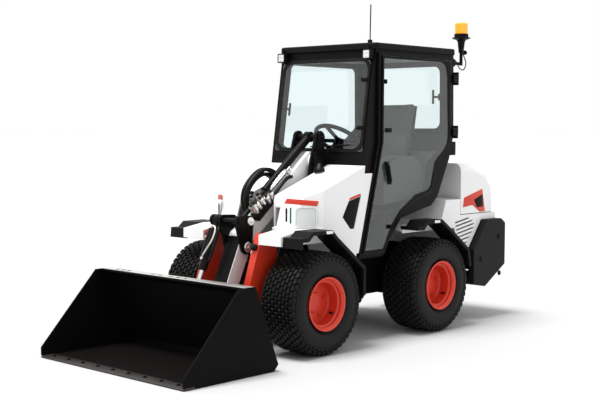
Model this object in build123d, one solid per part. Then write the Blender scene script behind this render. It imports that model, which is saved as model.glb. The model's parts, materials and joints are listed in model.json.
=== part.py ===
from build123d import *
import math
import os

# Articulated loader. Millimetres, +X forward, +Y left, +Z up.
# The pieces are drawn with X = 0 on the steering pivot and moved at the end,
# so that the origin is on the ground under the middle of the whole machine.
# Side-view points are (x, z), top-view points are (x, y).

GAP = 0.3
PLAY = 5.0

# wheels
WHEELBASE = 1208.0
FRONT_AXLE_X = WHEELBASE / 2
REAR_AXLE_X = -WHEELBASE / 2
TYRE_R = 330.0
TYRE_IN = 300.0
TYRE_OUT = 600.0
TYRE_ROUND = 14.0
WHEEL_MID = (TYRE_IN + TYRE_OUT) / 2
BEAD_R = 153.0
FLANGE_R = BEAD_R + 18.0
STUB_R = 45.0
STUB_END = WHEEL_MID + 4.7
HUB_R = STUB_R + 19.0
AXLE_R = 60.0
AXLE_HALF = TYRE_IN - 10.0
DRIVE_R = 105.0
DRIVE_HALF = 85.0

# chassis
PLATE_OUT = 215.0
PLATE_T = 25.0
PLATE_IN = PLATE_OUT - PLATE_T
SKIN_T = 15.0
CHASSIS_LOW = 270.0
CHASSIS_TOP = 560.0
REAR_CHASSIS_TOP = CHASSIS_TOP - 15.0
FRONT_START = 150.0
FRONT_STOP = FRONT_AXLE_X + 96.0
PIVOT_PIN_R = 25.0
LUG_R = 75.0
LUG_LOW = 300.0
LUG_HIGH = 500.0
LUG_T = 30.0
TONGUE_LOW = LUG_LOW + LUG_T + PLAY
TONGUE_HIGH = LUG_HIGH - PLAY - LUG_T
POST_IN = PLATE_OUT - 20.0
POST_OUT = 250.0
POST_TOP = 765.0

# lift linkage
SLOPE = math.radians(39.5)
ALONG = (math.cos(SLOPE), -math.sin(SLOPE))
ACROSS = (math.sin(SLOPE), math.cos(SLOPE))
BOOM_LINE = (120.0, 1335.0)
BOOM_PIN = (160.0, 1205.0)
CRANK_PIN = (810.0, 667.0)
BUCKET_PIN = (1000.0, 247.0)
LEVEL_ARM = (-23.0, 165.0)
CRANK_ARM = (65.0, 168.0)
LEVEL_PIN = (BOOM_PIN[0] + LEVEL_ARM[0], BOOM_PIN[1] + LEVEL_ARM[1])
LEVEL_END = (CRANK_PIN[0] + LEVEL_ARM[0], CRANK_PIN[1] + LEVEL_ARM[1])
TILT_TOP = (CRANK_PIN[0] + CRANK_ARM[0], CRANK_PIN[1] + CRANK_ARM[1])
TILT_END = (BUCKET_PIN[0] + CRANK_ARM[0], BUCKET_PIN[1] + CRANK_ARM[1])
BOOM_HALF = 60.0
BOOM_R = 48.0
BOOM_BELOW = -50.0
BOOM_HEAD = 115.0
BOOM_ELBOW = 900.0
TOWER_IN = 88.0
TOWER_OUT = 108.0
CRANK_IN = BOOM_HALF + 6.0
CRANK_OUT = CRANK_IN + 18.0
TILT_Y = -115.0
TILT_HALF = 22.0
TILT_FORK = TILT_HALF + 9.0
FORK_T = 16.0
BOOM_PIN_R = 25.0
LEVEL_PIN_R = 20.0
CRANK_PIN_R = 22.0
TILT_PIN_R = 18.0
BUCKET_PIN_R = 24.0
KEEPER_R = 92.0
KEEPER_T = 36.0
COUNTER_R = 130.0
COUNTER_T = 56.0
LIFT_PIN_R = 18.0
LIFT_BASE = (450.0, 400.0)
LIFT_ALONG = 280.0
LIFT_BELOW = -180.0
LIFT_EYE = (
    BOOM_LINE[0] + LIFT_ALONG * ALONG[0] + LIFT_BELOW * ACROSS[0],
    BOOM_LINE[1] + LIFT_ALONG * ALONG[1] + LIFT_BELOW * ACROSS[1],
)
LIFT_HALF = 25.0
EAR_IN = LIFT_HALF + PLAY
EAR_T = 18.0
EAR_R = 36.0

# bucket and its coupler
FRONT_REACH = 1867.0
BUCKET_HALF = 668.0
BUCKET_TOP = 518.0
BUCKET_LOW = 3.0
SHEET = 10.0
HEEL = (1125.0, 40.0)
BACK_TOP = (1315.0, BUCKET_TOP)
BUCKET_BROW = 130.0
LIP_TALL = 64.0
EDGE_WIDE = 82.0
EDGE_T = 13.0
COUPLER_HALF = 380.0
COUPLER_T = 28.0
COUPLER_SPAN = (40.0, 440.0)

# cab
CAB_HALF = 432.0
CAB_WALL = 40.0
CAB_SPLIT = 1205.0
CAB_TOP = 1962.0
CAB_LOW = CHASSIS_TOP
CAB_TOE = 150.0
CAB_BROW = -55.0
CAB_HEEL = -140.0
CAB_UNDER = ((-290.0, 800.0), (-690.0, 882.0), (-765.0, 940.0), (-907.0, 1216.0), (-955.0, 1380.0))
CAB_BACK = -945.0
ROOF_T = 43.0
ROOF_TOP = CAB_TOP + ROOF_T
ROOF_OVER = 15.0
GLASS = 6.0
WINDOW_LAP = 18.0
SCREEN_HALF = CAB_HALF - 45.0
SCREEN_LOW = CAB_SPLIT + 85.0
REAR_WINDOW_HALF = CAB_HALF - 97.0
REAR_WINDOW_LOW = 1430.0
WINDOW_TOP = CAB_TOP - 80.0
RIGHT_WINDOW = ((-10.0, 1190.0), (-600.0, 1190.0), (-690.0, 1300.0), (-868.0, REAR_WINDOW_LOW))
DOOR_IN = CAB_HALF + PLAY
DOOR_T = 18.0
DOOR_OUT = DOOR_IN + DOOR_T
DOOR_RAIL = 38.0
DOOR_TOP = CAB_TOP - 22.0
DOOR_LOW = CAB_LOW + 14.0
DOOR_FRONT = 13.0
DOOR_KINK = (-62.0, 1330.0)
DOOR_STEPS = (
    (-130.0, DOOR_LOW), (-187.0, 669.0), (-329.0, 833.0), (-523.0, 921.0), (-672.0, 957.0),
    (-716.0, 1170.0), (-864.0, 1275.0), (-922.0, 1368.0), (-905.0, DOOR_TOP),
)
DOOR_HINGE = (-935.0, DOOR_OUT + 15.0)
HINGE_HEIGHTS = (1405.0, 1790.0)
HINGE_TALL = 56.0
HINGE_EAR = 18.0
HINGE_PIN_R = 6.0
PAN_TOP = 1000.0
PAN_T = 15.0
PAN_SPAN = (-640.0, -200.0)
SEAT_HALF = 232.0
SEAT_LINE = ((-722.0, 1090.0), (-818.0, 1593.0))
PAD_ROUND = 24.0
CONSOLE_TOP = 1150.0
CONSOLE_HALF = 300.0
WHEEL_HUB = (-183.0, 0.0, 1341.0)
WHEEL_AXIS = (-0.594, 0.0, 0.805)
STEERING_R = 178.0
STEERING_RIM = 15.0
HUB_TALL = 16.0
BEACON = (-1085.0, 400.0)
BEACON_R = 44.0
BEACON_ARM_Z = 1905.0
BEACON_SPAN = (2090.0, 2122.0, 2205.0)
STEM_R = 12.0
ANTENNA = (-90.0, 350.0)
ANTENNA_TOP = 2264.0
REAR_LAMP = (1235.0, 1335.0)
REAR_LAMP_X = -990.0

# rear end
BODY_HALF = 450.0
BODY_WALL = 18.0
DECK_TOP = 760.0
DECK_LOW = 705.0
DECK_FRONT = 310.0
SWING_R = 560.0
STEP_TOP = 912.0
STEP_FRONT = 850.0
SILL_TOP = 795.0
HOOD_ARC_R = 1130.0
HOOD_LONG = 370.0
HOOD_REAR = HOOD_ARC_R + HOOD_LONG
HOOD_LOW = SILL_TOP + PLAY
HOOD_TOP = 1172.0
HOOD_HALF = BODY_HALF - PLAY
HOOD_WALL = 14.0
HOOD_ROUND = 70.0
HOOD_KNUCKLE_R = 13.0
HOOD_HINGE = (-HOOD_REAR - 8.0, SILL_TOP - 8.0)
HOOD_HINGES = (200.0, -200.0)
HOOD_KNUCKLE = 22.0
TAIL_X = -HOOD_REAR + 10.0
CHASSIS_END = -HOOD_ARC_R - 10.0
WEIGHT_HALF = BODY_HALF + 50.0
WEIGHT_TOP = 748.0
WEIGHT_LOW = 245.0
WEIGHT_CUT = 34.0
REAR_REACH = HOOD_REAR + 90.0
ENGINE_LOW = 330.0
ENGINE_TOP = 985.0
ENGINE_HALF = 230.0
TOW_PIN = (-REAR_REACH + 42.0, 0.0)
TOW_R = 13.0
TOW_DEEP = 90.0
TOW_SLOT = (470.0, 570.0)
TOW_LOW = 420.0
TOW_TOP = 660.0
LOUVRE_TOP = 745.0
LOUVRE_PITCH = 27.0
LOUVRE_TALL = 12.0
LOUVRE_RISE = 0.164
# each slot's front and rear end, behind the rear tyre
LOUVRE_ENDS = (
    (30.0, 209.0), (35.0, 255.0), (46.0, 277.0), (56.0, 270.0), (70.0, 250.0), (84.0, 221.0), (113.0, 188.0),
)

# fenders
FENDER_WIDE = 150.0
FENDER_T = 24.0
FENDER_LIP = 66.0
WHEEL_TOP = 2 * TYRE_R
REAR_FENDER_TIP = -318.0

# nose
NOSE_GAP = 12.0
NOSE_IN = TOWER_OUT + 10.0
NOSE_WALL = 14.0
NOSE_TOP = 1182.0
NOSE_SILL = WHEEL_TOP + 40.0
NOSE_BROW = (590.0, 992.0)
NOSE_STEP = (650.0, 800.0)
NOSE_TIP = (880.0, 762.0)
NOSE_FOOT = (235.0, 310.0)
NOSE_CORNER = ((470.0, BODY_HALF + 10.0), (702.0, BODY_HALF - 148.0))
SCOOP = ((226.0, 975.0), (120.0, 1000.0), (112.0, 985.0), (182.0, 768.0), (219.0, 767.0), (300.0, 851.0))
WING_IN = CAB_HALF + 4.0
WING_LOW = 604.0
WING_TOP = 1130.0
WING_GAP = 6.0
SCOOP_DEEP = 6.0
LAMP_SIZE = (128.0, 10.0, 112.0)
LAMP_Z = 865.0

# steering cylinder
STEER_BASE = (-400.0, 120.0)
STEER_EYE = (45.0, 135.0)
STEER_Z = 415.0
STEER_PIN_R = 15.0

PIVOT_X = (REAR_REACH - FRONT_REACH) / 2


def face(points, radius=0):
    """Closed outline of lines, with its corners rounded."""
    if radius:
        return make_face(FilletPolyline(*points, radius=radius, close=True))
    return make_face(Polyline(*points, close=True))


def side(points, y0, y1, radius=0):
    """Side-view outline (x, z) between two widths."""
    return extrude(Plane.XZ.offset(-y1) * face(points, radius), y1 - y0)


def plan(points, z0, z1, radius=0):
    """Top-view outline (x, y) between two heights."""
    return extrude(Pos(0, 0, z0) * face(points, radius), z1 - z0)


def front(points, x0, x1, radius=0):
    """Front-view outline (y, z) between two lengths."""
    return extrude(Plane.YZ.offset(x0) * face(points, radius), x1 - x0)


def hull(circles):
    """Outline drawn tight round circles (u, v, r)."""
    rings = [Pos(u, v) * Circle(r) for u, v, r in circles]
    edges = [edge for ring in rings for edge in ring.edges()]
    return make_hull(edges)


def web(circles, y0, y1):
    """Plate across Y with its outline tight round circles (x, z, r)."""
    return extrude(Plane.XZ.offset(-y1) * hull(circles), y1 - y0)


def flat(circles, z0, z1):
    """Level plate with its outline tight round circles (x, y, r)."""
    return extrude(Pos(0, 0, z0) * hull(circles), z1 - z0)


def block(x0, x1, y0, y1, z0, z1):
    middle = Pos((x0 + x1) / 2, (y0 + y1) / 2, (z0 + z1) / 2)
    return middle * Box(x1 - x0, y1 - y0, z1 - z0)


def across(point, r, y0, y1):
    """Round bar along Y at a side-view point."""
    return Pos(point[0], (y0 + y1) / 2, point[1]) * Rot(90, 0, 0) * Cylinder(r, y1 - y0)


def upright(point, r, z0, z1):
    """Round bar along Z at a top-view point."""
    return Pos(point[0], point[1], (z0 + z1) / 2) * Cylinder(r, z1 - z0)


def bar(start, end, r):
    """Round bar between two points in space."""
    way = Vector(*end) - Vector(*start)
    middle = (Vector(*end) + Vector(*start)) * 0.5
    return Plane(origin=middle, z_dir=way) * Cylinder(r, way.length)


def spin(points, x, radius=0):
    """Solid of revolution about the axle at x, from (radius, y) points."""
    return Pos(x, 0, TYRE_R) * revolve(face(points, radius), Axis.Y)


def flip(solid):
    """The same piece on the other side of the machine."""
    return mirror(solid, about=Plane.XZ)


def pair(solid):
    """A left piece and its mirror, as one node."""
    return group(solid, flip(solid))


def group(*solids):
    """Pieces of one node that don't touch."""
    return Compound([part.solid() for part in solids])


def on_boom(along, across_it, r):
    """Side-view circle placed along and across the boom."""
    x = BOOM_LINE[0] + along * ALONG[0] + across_it * ACROSS[0]
    z = BOOM_LINE[1] + along * ALONG[1] + across_it * ACROSS[1]
    return (x, z, r)


def between(start, end, share):
    return (start[0] + (end[0] - start[0]) * share, start[1] + (end[1] - start[1]) * share)


def x_at(start, end, z):
    """X on the line through two side-view points, at a height."""
    return start[0] + (z - start[1]) * (end[0] - start[0]) / (end[1] - start[1])


def cab_front_x(z):
    """Place of the leaning front of the cab at a height."""
    return x_at((CAB_TOE, CAB_LOW), (CAB_BROW, CAB_TOP), z)


def cab_back_x(z):
    """Place of the cab's upper rear wall at a height."""
    return x_at(CAB_UNDER[4], (CAB_BACK, CAB_TOP), z)


def cab_floor_z(x):
    """Height of the raised floor under the seat."""
    lead, rear = CAB_UNDER[:2]
    slope = (rear[1] - lead[1]) / (lead[0] - rear[0])
    return lead[1] + (lead[0] - x) * slope + CAB_WALL * math.hypot(1, slope) + GAP


# wheels and axles

def tyre(x):
    """Left tyre on an axle at x, out to the tips of its tread."""
    outer = [
        (BEAD_R, TYRE_OUT - 40), (BEAD_R + 29, TYRE_OUT - 16), ((BEAD_R + TYRE_R) / 2, TYRE_OUT),
        (TYRE_R - 32, TYRE_OUT - 8), (TYRE_R, TYRE_OUT - 48),
    ]
    inner = [(r, 2 * WHEEL_MID - y) for r, y in reversed(outer)]
    return spin(outer + inner, x, TYRE_ROUND)


def rim(x):
    """Left rim with its deep dish, hub and drop-in seat for the tyre."""
    seat = BEAD_R - GAP
    bore = STUB_R + GAP
    stop = STUB_END + GAP
    flange = [
        (FLANGE_R, TYRE_OUT - 6), (FLANGE_R, TYRE_OUT - 13), (seat, TYRE_OUT - 20),
        (seat, TYRE_IN + 20), (FLANGE_R, TYRE_IN + 13), (FLANGE_R, TYRE_IN + 6),
    ]
    back = [
        (BEAD_R - 9, TYRE_IN + 6), (BEAD_R - 9, WHEEL_MID + 10), (HUB_R, WHEEL_MID), (HUB_R, WHEEL_MID - 35),
        (bore, WHEEL_MID - 35), (bore, stop), (0, stop),
    ]
    dish = [
        (0, WHEEL_MID + 32), (HUB_R - 6, WHEEL_MID + 32), (HUB_R + 2, WHEEL_MID + 18),
        (BEAD_R - 25, WHEEL_MID + 24),
        (BEAD_R - 17, WHEEL_MID + 36), (BEAD_R - 17, TYRE_OUT - 44), (BEAD_R - 5, TYRE_OUT - 38),
        (BEAD_R - 5, TYRE_OUT - 22), (FLANGE_R - 9, TYRE_OUT - 6),
    ]
    return spin(flange + back + dish, x)


def axle(x):
    """Housing with the drive in its middle and a stub for each wheel."""
    centre = (x, TYRE_R)
    housing = across(centre, AXLE_R, -AXLE_HALF, AXLE_HALF)
    housing += across(centre, DRIVE_R, -DRIVE_HALF, DRIVE_HALF)
    housing += across(centre, STUB_R, -STUB_END, STUB_END)
    return housing


# front frame

def side_plates(x0, x1, top, axle_x):
    """Pair of chassis side plates, with a hole for the axle."""
    plate = block(x0, x1, PLATE_IN, PLATE_OUT, CHASSIS_LOW, top)
    plate -= across((axle_x, TYRE_R), AXLE_R + GAP, PLATE_IN - PLAY, PLATE_OUT + PLAY)
    return plate + flip(plate)


def front_chassis():
    """Front half of the frame, with the pivot's lugs, the steering arm and the lift ram's ears."""
    frame = side_plates(FRONT_START, FRONT_STOP, CHASSIS_TOP, FRONT_AXLE_X)
    wide = (-PLATE_OUT, PLATE_OUT)
    frame += block(FRONT_START, FRONT_START + PLATE_T, *wide, CHASSIS_LOW, CHASSIS_TOP)
    frame += block(FRONT_STOP - PLATE_T, FRONT_STOP, *wide, TYRE_R + 80, CHASSIS_TOP)
    frame += block(FRONT_START, FRONT_AXLE_X - DRIVE_R - 9, *wide, CHASSIS_LOW, CHASSIS_LOW + SKIN_T)
    frame += block(40, LIFT_BASE[0] - DRIVE_R, *wide, CHASSIS_TOP - SKIN_T, CHASSIS_TOP)
    corner = 12
    root = FRONT_START - 8
    for low in (LUG_LOW, LUG_HIGH):
        frame += flat([(0, 0, LUG_R), (root, 140, corner), (root, -140, corner)], low, low + LUG_T)
    arm = [(*STEER_EYE, 28), (root, 120, corner), (root, 190, corner)]
    frame += flat(arm, LUG_LOW, LUG_LOW + LUG_T)
    frame += upright(STEER_EYE, STEER_PIN_R + 1, LUG_LOW, STEER_Z - 25)
    frame -= upright((0, 0), PIVOT_PIN_R + GAP, LUG_LOW - PLAY, LUG_HIGH + LUG_T + PLAY)
    foot = CHASSIS_LOW + SKIN_T
    roots = [(LIFT_BASE[0] - 35, foot, 5), (LIFT_BASE[0] + 35, foot, 5)]
    ear = web([(*LIFT_BASE, EAR_R), *roots], EAR_IN, EAR_IN + EAR_T)
    frame += ear + flip(ear)
    frame += across(LIFT_BASE, LIFT_PIN_R, -EAR_IN - EAR_T / 2, EAR_IN + EAR_T / 2)
    return frame


def front_posts():
    """Side posts at the front of the chassis."""
    x = FRONT_STOP
    post = side([
        (x, LUG_LOW), (x + 230, LUG_LOW), (x + 255, LUG_LOW + 130), (x + 145, POST_TOP), (x + 20, POST_TOP),
        (x, CHASSIS_TOP),
    ], POST_IN, POST_OUT)
    return pair(post)


def boom_tower():
    """Two plates that carry the boom and its levelling ram."""
    foot = CHASSIS_TOP + 15
    plate = web([(185, foot, 15), (330, foot, 15), (*BOOM_PIN, 68), (*LEVEL_PIN, 42)], TOWER_IN, TOWER_OUT)
    tower = plate + flip(plate)
    brace = BOOM_PIN[1] - 145
    foot = CHASSIS_TOP + 2
    tower += side([(172, foot), (192, foot), (137, brace), (119, brace)], -TOWER_IN - 2, TOWER_IN + 2)
    tower += across(BOOM_PIN, BOOM_PIN_R, -TOWER_OUT - 6, TOWER_OUT + 6)
    tower += across(LEVEL_PIN, LEVEL_PIN_R, -TOWER_OUT - 6, TOWER_OUT + 6)
    return tower


def nose_form(inset):
    """Left half of the nose, drawn smaller by an inset."""
    outline = [
        (cab_front_x(NOSE_TOP) + NOSE_GAP, NOSE_TOP), NOSE_BROW, NOSE_STEP, NOSE_TIP,
        (NOSE_TIP[0], NOSE_SILL),
        (NOSE_FOOT[1], NOSE_SILL), (NOSE_FOOT[0], CHASSIS_TOP),
        (cab_front_x(CHASSIS_TOP) + NOSE_GAP, CHASSIS_TOP),
    ]
    drawn = face(outline)
    if inset:
        drawn = offset(drawn, -inset, kind=Kind.INTERSECTION)
    width = BODY_HALF - NOSE_IN - 2 * inset
    body = extrude(Plane.XZ.offset(-(BODY_HALF - inset)) * drawn, width)
    cut = inset * 1.2
    near, far = NOSE_CORNER
    out = far[0] + 18
    corner = [(near[0] - cut, near[1]), (out, near[1]), (out, far[1] - cut), (far[0] - cut, far[1])]
    return body - plan(corner, NOSE_STEP[1] - 10 - inset, NOSE_TOP + 20)


def nose_panels():
    """Two hollow side panels of the nose, open below, with a wing beside the cab and a shallow scoop."""
    shell = nose_form(0) - nose_form(NOSE_WALL)
    low = NOSE_SILL - 50
    shell -= block(300, NOSE_TIP[0] - 25, NOSE_IN + 22, BODY_HALF - 20, low, NOSE_SILL + 20)
    shell -= block(600, FRONT_STOP, NOSE_IN - 18, PLATE_IN, low, NOSE_TOP)
    shell -= block(FRONT_STOP - 10, NOSE_TIP[0] + 20, NOSE_IN - 18, POST_OUT + 6, low, POST_TOP + 65)
    lap = NOSE_GAP + 8
    shell += side([
        (door_front_x(WING_LOW) + WING_GAP, WING_LOW), (door_front_x(WING_TOP) + WING_GAP, WING_TOP),
        (cab_front_x(WING_TOP) + lap, WING_TOP), (cab_front_x(WING_LOW) + lap, WING_LOW),
    ], WING_IN, BODY_HALF)
    shell -= side(SCOOP, BODY_HALF - SCOOP_DEEP, BODY_HALF + PLAY)
    return pair(shell)


def headlights():
    """Lamps on the slanted front corners of the nose."""
    near, far = NOSE_CORNER
    turn = math.degrees(math.atan2(far[1] - near[1], far[0] - near[0]))
    middle = between(near, far, 0.5)
    wide, deep, tall = LAMP_SIZE
    lamp = Pos(*middle, LAMP_Z) * Rot(0, 0, turn) * Pos(0, deep / 2 + GAP, 0) * Box(wide, deep, tall)
    return pair(lamp)


def fender(points):
    """Pair of fenders, as strips of even thickness bent along (x, z) points from front to back."""
    normals = []
    for start, end in zip(points, points[1:]):
        run = math.hypot(end[0] - start[0], end[1] - start[1])
        normals.append(((start[1] - end[1]) / run, (end[0] - start[0]) / run))
    lower = []
    for (x, z), one, two in zip(points, normals[:1] + normals, normals + normals[-1:]):
        share = FENDER_T / (1 + one[0] * two[0] + one[1] * two[1])
        lower.append((x + (one[0] + two[0]) * share, z + (one[1] + two[1]) * share))
    return pair(side(list(points) + lower[::-1], BODY_HALF, BODY_HALF + FENDER_WIDE))


def front_fenders():
    x = FRONT_AXLE_X
    back = x - TYRE_R - 36
    return fender([
        (x + 262, WHEEL_TOP + 98 - FENDER_LIP), (x + 256, WHEEL_TOP + 98), (x + 190, WHEEL_TOP + 98),
        (x + 148, WHEEL_TOP + 134), (x - 37, WHEEL_TOP + 134),
        (x - 90, WHEEL_TOP + 85), (back, TYRE_R + 205), (back, TYRE_R + 20),
    ])


def rear_fenders():
    x = REAR_AXLE_X
    return fender([
        (REAR_FENDER_TIP, WHEEL_TOP + 97), (x + 222, WHEEL_TOP + 97), (x + 182, WHEEL_TOP + 136),
        (x + 4, WHEEL_TOP + 136), (x - 95, WHEEL_TOP + 70), (x - TYRE_R - 1, TYRE_R + 235),
        (x - TYRE_R - 28, TYRE_R + 110),
    ])


# cab

def cab_shell():
    """Walls of the whole cab, with its door and windows cut out."""
    drawn = face([
        (CAB_BROW, CAB_TOP), (CAB_TOE, CAB_LOW), (CAB_HEEL, CAB_LOW), *CAB_UNDER, (CAB_BACK, CAB_TOP),
    ])
    shell = extrude(Plane.XZ.offset(-CAB_HALF) * drawn, 2 * CAB_HALF)
    room = offset(drawn, -CAB_WALL, kind=Kind.INTERSECTION)
    inside = CAB_HALF - CAB_WALL
    shell -= extrude(Plane.XZ.offset(-inside) * room, 2 * inside)
    opening = offset(door_outline(), -DOOR_RAIL + 6, kind=Kind.INTERSECTION)
    shell -= extrude(Plane.XZ.offset(-CAB_HALF - PLAY) * opening, CAB_WALL + 30)
    half, low, top = SCREEN_HALF, SCREEN_LOW, WINDOW_TOP
    shell -= front([(-half, low), (half, low), (half, top), (-half, top)], CAB_BROW - 75, CAB_TOE - 40, 75)
    half, low = REAR_WINDOW_HALF, REAR_WINDOW_LOW
    window = [(-half, low), (half, low), (half, top), (-half, top)]
    shell -= front(window, CAB_UNDER[4][0] - 35, CAB_BACK + 65, 50)
    shell -= extrude(Plane.XZ.offset(CAB_HALF - CAB_WALL - PLAY) * right_window(), CAB_WALL + 2 * PLAY)
    return shell


def door_front_x(z):
    """Place of the door's leaning front edge, below its kink."""
    return x_at(DOOR_KINK, (cab_front_x(DOOR_LOW) - DOOR_FRONT, DOOR_LOW), z)


def door_outline():
    return face([
        (cab_front_x(DOOR_TOP) - DOOR_FRONT, DOOR_TOP), DOOR_KINK, (door_front_x(DOOR_LOW), DOOR_LOW),
        *DOOR_STEPS,
    ])


def right_window():
    front_top = (cab_front_x(WINDOW_TOP) - 69, WINDOW_TOP)
    rear_top = (cab_back_x(WINDOW_TOP) + 86, WINDOW_TOP)
    return face([front_top, *RIGHT_WINDOW, rear_top], 40)


def cab_frame():
    """Upper cab with its posts and the fixed halves of the door's hinges."""
    wide = 2 * CAB_HALF
    frame = cab_shell() & block(2 * CAB_BACK, wide, -wide, wide, CAB_SPLIT, CAB_TOP + PLAY)
    half = HINGE_TALL / 2 + GAP
    x, y = DOOR_HINGE
    for z in HINGE_HEIGHTS:
        for low in (z - half - HINGE_EAR, z + half):
            frame += block(x - 13, x + 7, CAB_HALF - 10, y + 9, low, low + HINGE_EAR)
        frame += upright(DOOR_HINGE, HINGE_PIN_R, z - half - 10, z + half + 10)
    return frame


def cab_tub():
    """Lower cab: footwell, raised floor and the wall behind the seat."""
    wide = 2 * CAB_HALF
    return cab_shell() & block(2 * CAB_BACK, wide, -wide, wide, CAB_LOW - PLAY, CAB_SPLIT)


def cab_roof():
    half = CAB_HALF + ROOF_OVER
    rear, lead = CAB_BACK - 23, CAB_BROW + 25
    slab = plan([(rear, -half), (lead, -half), (lead, half), (rear, half)], CAB_TOP, ROOF_TOP, 45)
    return fillet(slab.faces().sort_by(Axis.Z)[-1].edges(), ROOF_T / 3)


def pane(wall_x, way, low, high, half):
    """Sheet of glass on a leaning wall, out from it by the way's sign."""
    return side([
        (wall_x(low) + way * GAP, low), (wall_x(low) + way * GLASS, low),
        (wall_x(high) + way * GLASS, high), (wall_x(high) + way * GAP, high),
    ], -half, half)


def cab_glass():
    lap = WINDOW_LAP
    screen = pane(cab_front_x, 1, SCREEN_LOW - lap, WINDOW_TOP + lap - 4, SCREEN_HALF + lap)
    rear = pane(cab_back_x, -1, REAR_WINDOW_LOW - lap, WINDOW_TOP + lap - 4, REAR_WINDOW_HALF + lap)
    right = offset(right_window(), lap, kind=Kind.ARC)
    right = extrude(Plane.XZ.offset(CAB_HALF + GAP) * right, GLASS)
    return group(screen, rear, right)


def door_frame():
    """Door's rail with its hinge knuckles."""
    drawn = door_outline()
    frame = extrude(Plane.XZ.offset(-DOOR_OUT) * drawn, DOOR_T)
    opening = offset(drawn, -DOOR_RAIL, kind=Kind.INTERSECTION)
    frame -= extrude(Plane.XZ.offset(-DOOR_OUT - PLAY) * opening, DOOR_T + 2 * PLAY)
    half = HINGE_TALL / 2
    x, y = DOOR_HINGE
    for z in HINGE_HEIGHTS:
        frame += block(x - 13, x + 45, DOOR_IN + 3, y + 9, z - half, z + half)
        frame -= upright(DOOR_HINGE, HINGE_PIN_R + GAP, z - half - PLAY, z + half + PLAY)
    return frame


def door_glass():
    drawn = offset(door_outline(), -DOOR_RAIL + 16, kind=Kind.INTERSECTION)
    sheet = extrude(Plane.XZ.offset(-DOOR_OUT - GLASS) * drawn, GLASS)
    half = HINGE_TALL / 2 + 6
    x, y = DOOR_HINGE
    for z in HINGE_HEIGHTS:
        sheet -= block(x - 25, x + 55, DOOR_OUT - PLAY, y + 15, z - half, z + half)
    return sheet


def seat_frame():
    """Pedestal, pan and back plate that carry the seat's pads."""
    rear, lead = PAN_SPAN
    legs = (rear + 80, lead - 80)
    half = SEAT_HALF - 52
    pedestal = side([
        (legs[1], cab_floor_z(legs[1])), (legs[0], cab_floor_z(legs[0])), (legs[0], PAN_TOP),
        (legs[1], PAN_TOP),
    ], -half, half)
    pan = block(rear, lead, -SEAT_HALF + 17, SEAT_HALF - 17, PAN_TOP - PAN_T, PAN_TOP)
    foot, head = SEAT_LINE
    under = PAN_TOP - PAN_T
    plate = side([
        (rear + 20, under), (rear, under), (foot[0] - PAN_T, foot[1] - 8), (head[0] - PAN_T, head[1]),
        head, foot,
    ], -half - 10, half + 10)
    return pedestal + pan + plate


def seat_cushion():
    rear, lead = PAN_SPAN[0] + 40, PAN_SPAN[1] + 10
    low = PAN_TOP + GAP
    outline = [(lead, low), (rear, low), (rear, low + 95), (lead, low + 112)]
    return side(outline, -SEAT_HALF, SEAT_HALF, PAD_ROUND)


def seat_back():
    low = between(*SEAT_LINE, 0.02)
    high = between(*SEAT_LINE, 1.06)
    outline = [
        (low[0] + 108, low[1]), (low[0] + GAP, low[1]), (high[0] + GAP, high[1]), (high[0] + 80, high[1]),
    ]
    return side(outline, -SEAT_HALF + 10, SEAT_HALF - 10, PAD_ROUND)


def steering_column():
    """Console across the cab's front, with the column to the wheel."""
    low = CAB_LOW + CAB_WALL
    inside = CAB_WALL + 12
    rear = cab_front_x(CONSOLE_TOP) - inside - 52
    console = side([
        (cab_front_x(low) - inside, low), (rear, low), (rear, CONSOLE_TOP),
        (cab_front_x(CONSOLE_TOP) - inside, CONSOLE_TOP),
    ], -CONSOLE_HALF, CONSOLE_HALF)
    shift = Vector(*WHEEL_AXIS) * (HUB_TALL / 2 + GAP)
    end = Vector(*WHEEL_HUB) - shift
    column = bar((rear + 20, 0, CONSOLE_TOP - 30), (end.X, end.Y, end.Z), 32)
    return console + column


def steering_wheel():
    place = Plane(origin=WHEEL_HUB, z_dir=WHEEL_AXIS)
    ring = place * Torus(STEERING_R, STEERING_RIM)
    span = 2 * STEERING_R - 6
    spokes = place * Box(span, 30, 12) + place * Box(30, span, 12)
    hub = place * Cylinder(34, HUB_TALL)
    return ring + spokes + hub


def work_lights():
    """Lamps under the roof's front corners."""
    low, high = CAB_TOP - 64, CAB_TOP - 7
    lead = cab_front_x(CAB_TOP) + 53
    lamp = side([
        (cab_front_x(low) + GAP, low), (cab_front_x(high) + GAP, high), (lead, high), (lead, low),
    ], CAB_HALF - 70, CAB_HALF - 8)
    return pair(lamp)


def rear_lamps():
    low, high = REAR_LAMP
    start, end = CAB_UNDER[3:5]
    lamp = side([
        (x_at(start, end, low) - GAP, low), (x_at(start, end, high) - GAP, high), (REAR_LAMP_X, high),
        (REAR_LAMP_X, low),
    ], CAB_HALF - 50, CAB_HALF - 2)
    return pair(lamp)


def beacon_mount():
    """Foot on the cab's back, arm, stem and base of the beacon."""
    x, y = BEACON
    z = BEACON_ARM_Z
    low, high = BEACON_SPAN[:2]
    wall = cab_back_x(z - 25) - GAP
    mount = block(wall - 29, wall, y - 25, y + 25, z - 25, z + 25)
    mount += bar((wall - 19, y, z), (x, y, z), STEM_R)
    mount += bar((x, y, z - STEM_R), (x, y, low), STEM_R)
    mount += upright(BEACON, BEACON_R + 8, low, high)
    return mount


def beacon_lens():
    lens = upright(BEACON, BEACON_R, *BEACON_SPAN[1:])
    return fillet(lens.faces().sort_by(Axis.Z)[-1].edges(), BEACON_R / 2.2)


def antenna():
    x, y = ANTENNA
    foot = upright(ANTENNA, 16, ROOF_TOP, ROOF_TOP + 22)
    return foot + bar((x, y, ROOF_TOP + 10), (x - 6, y, ANTENNA_TOP), 4)


# rear frame

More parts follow.
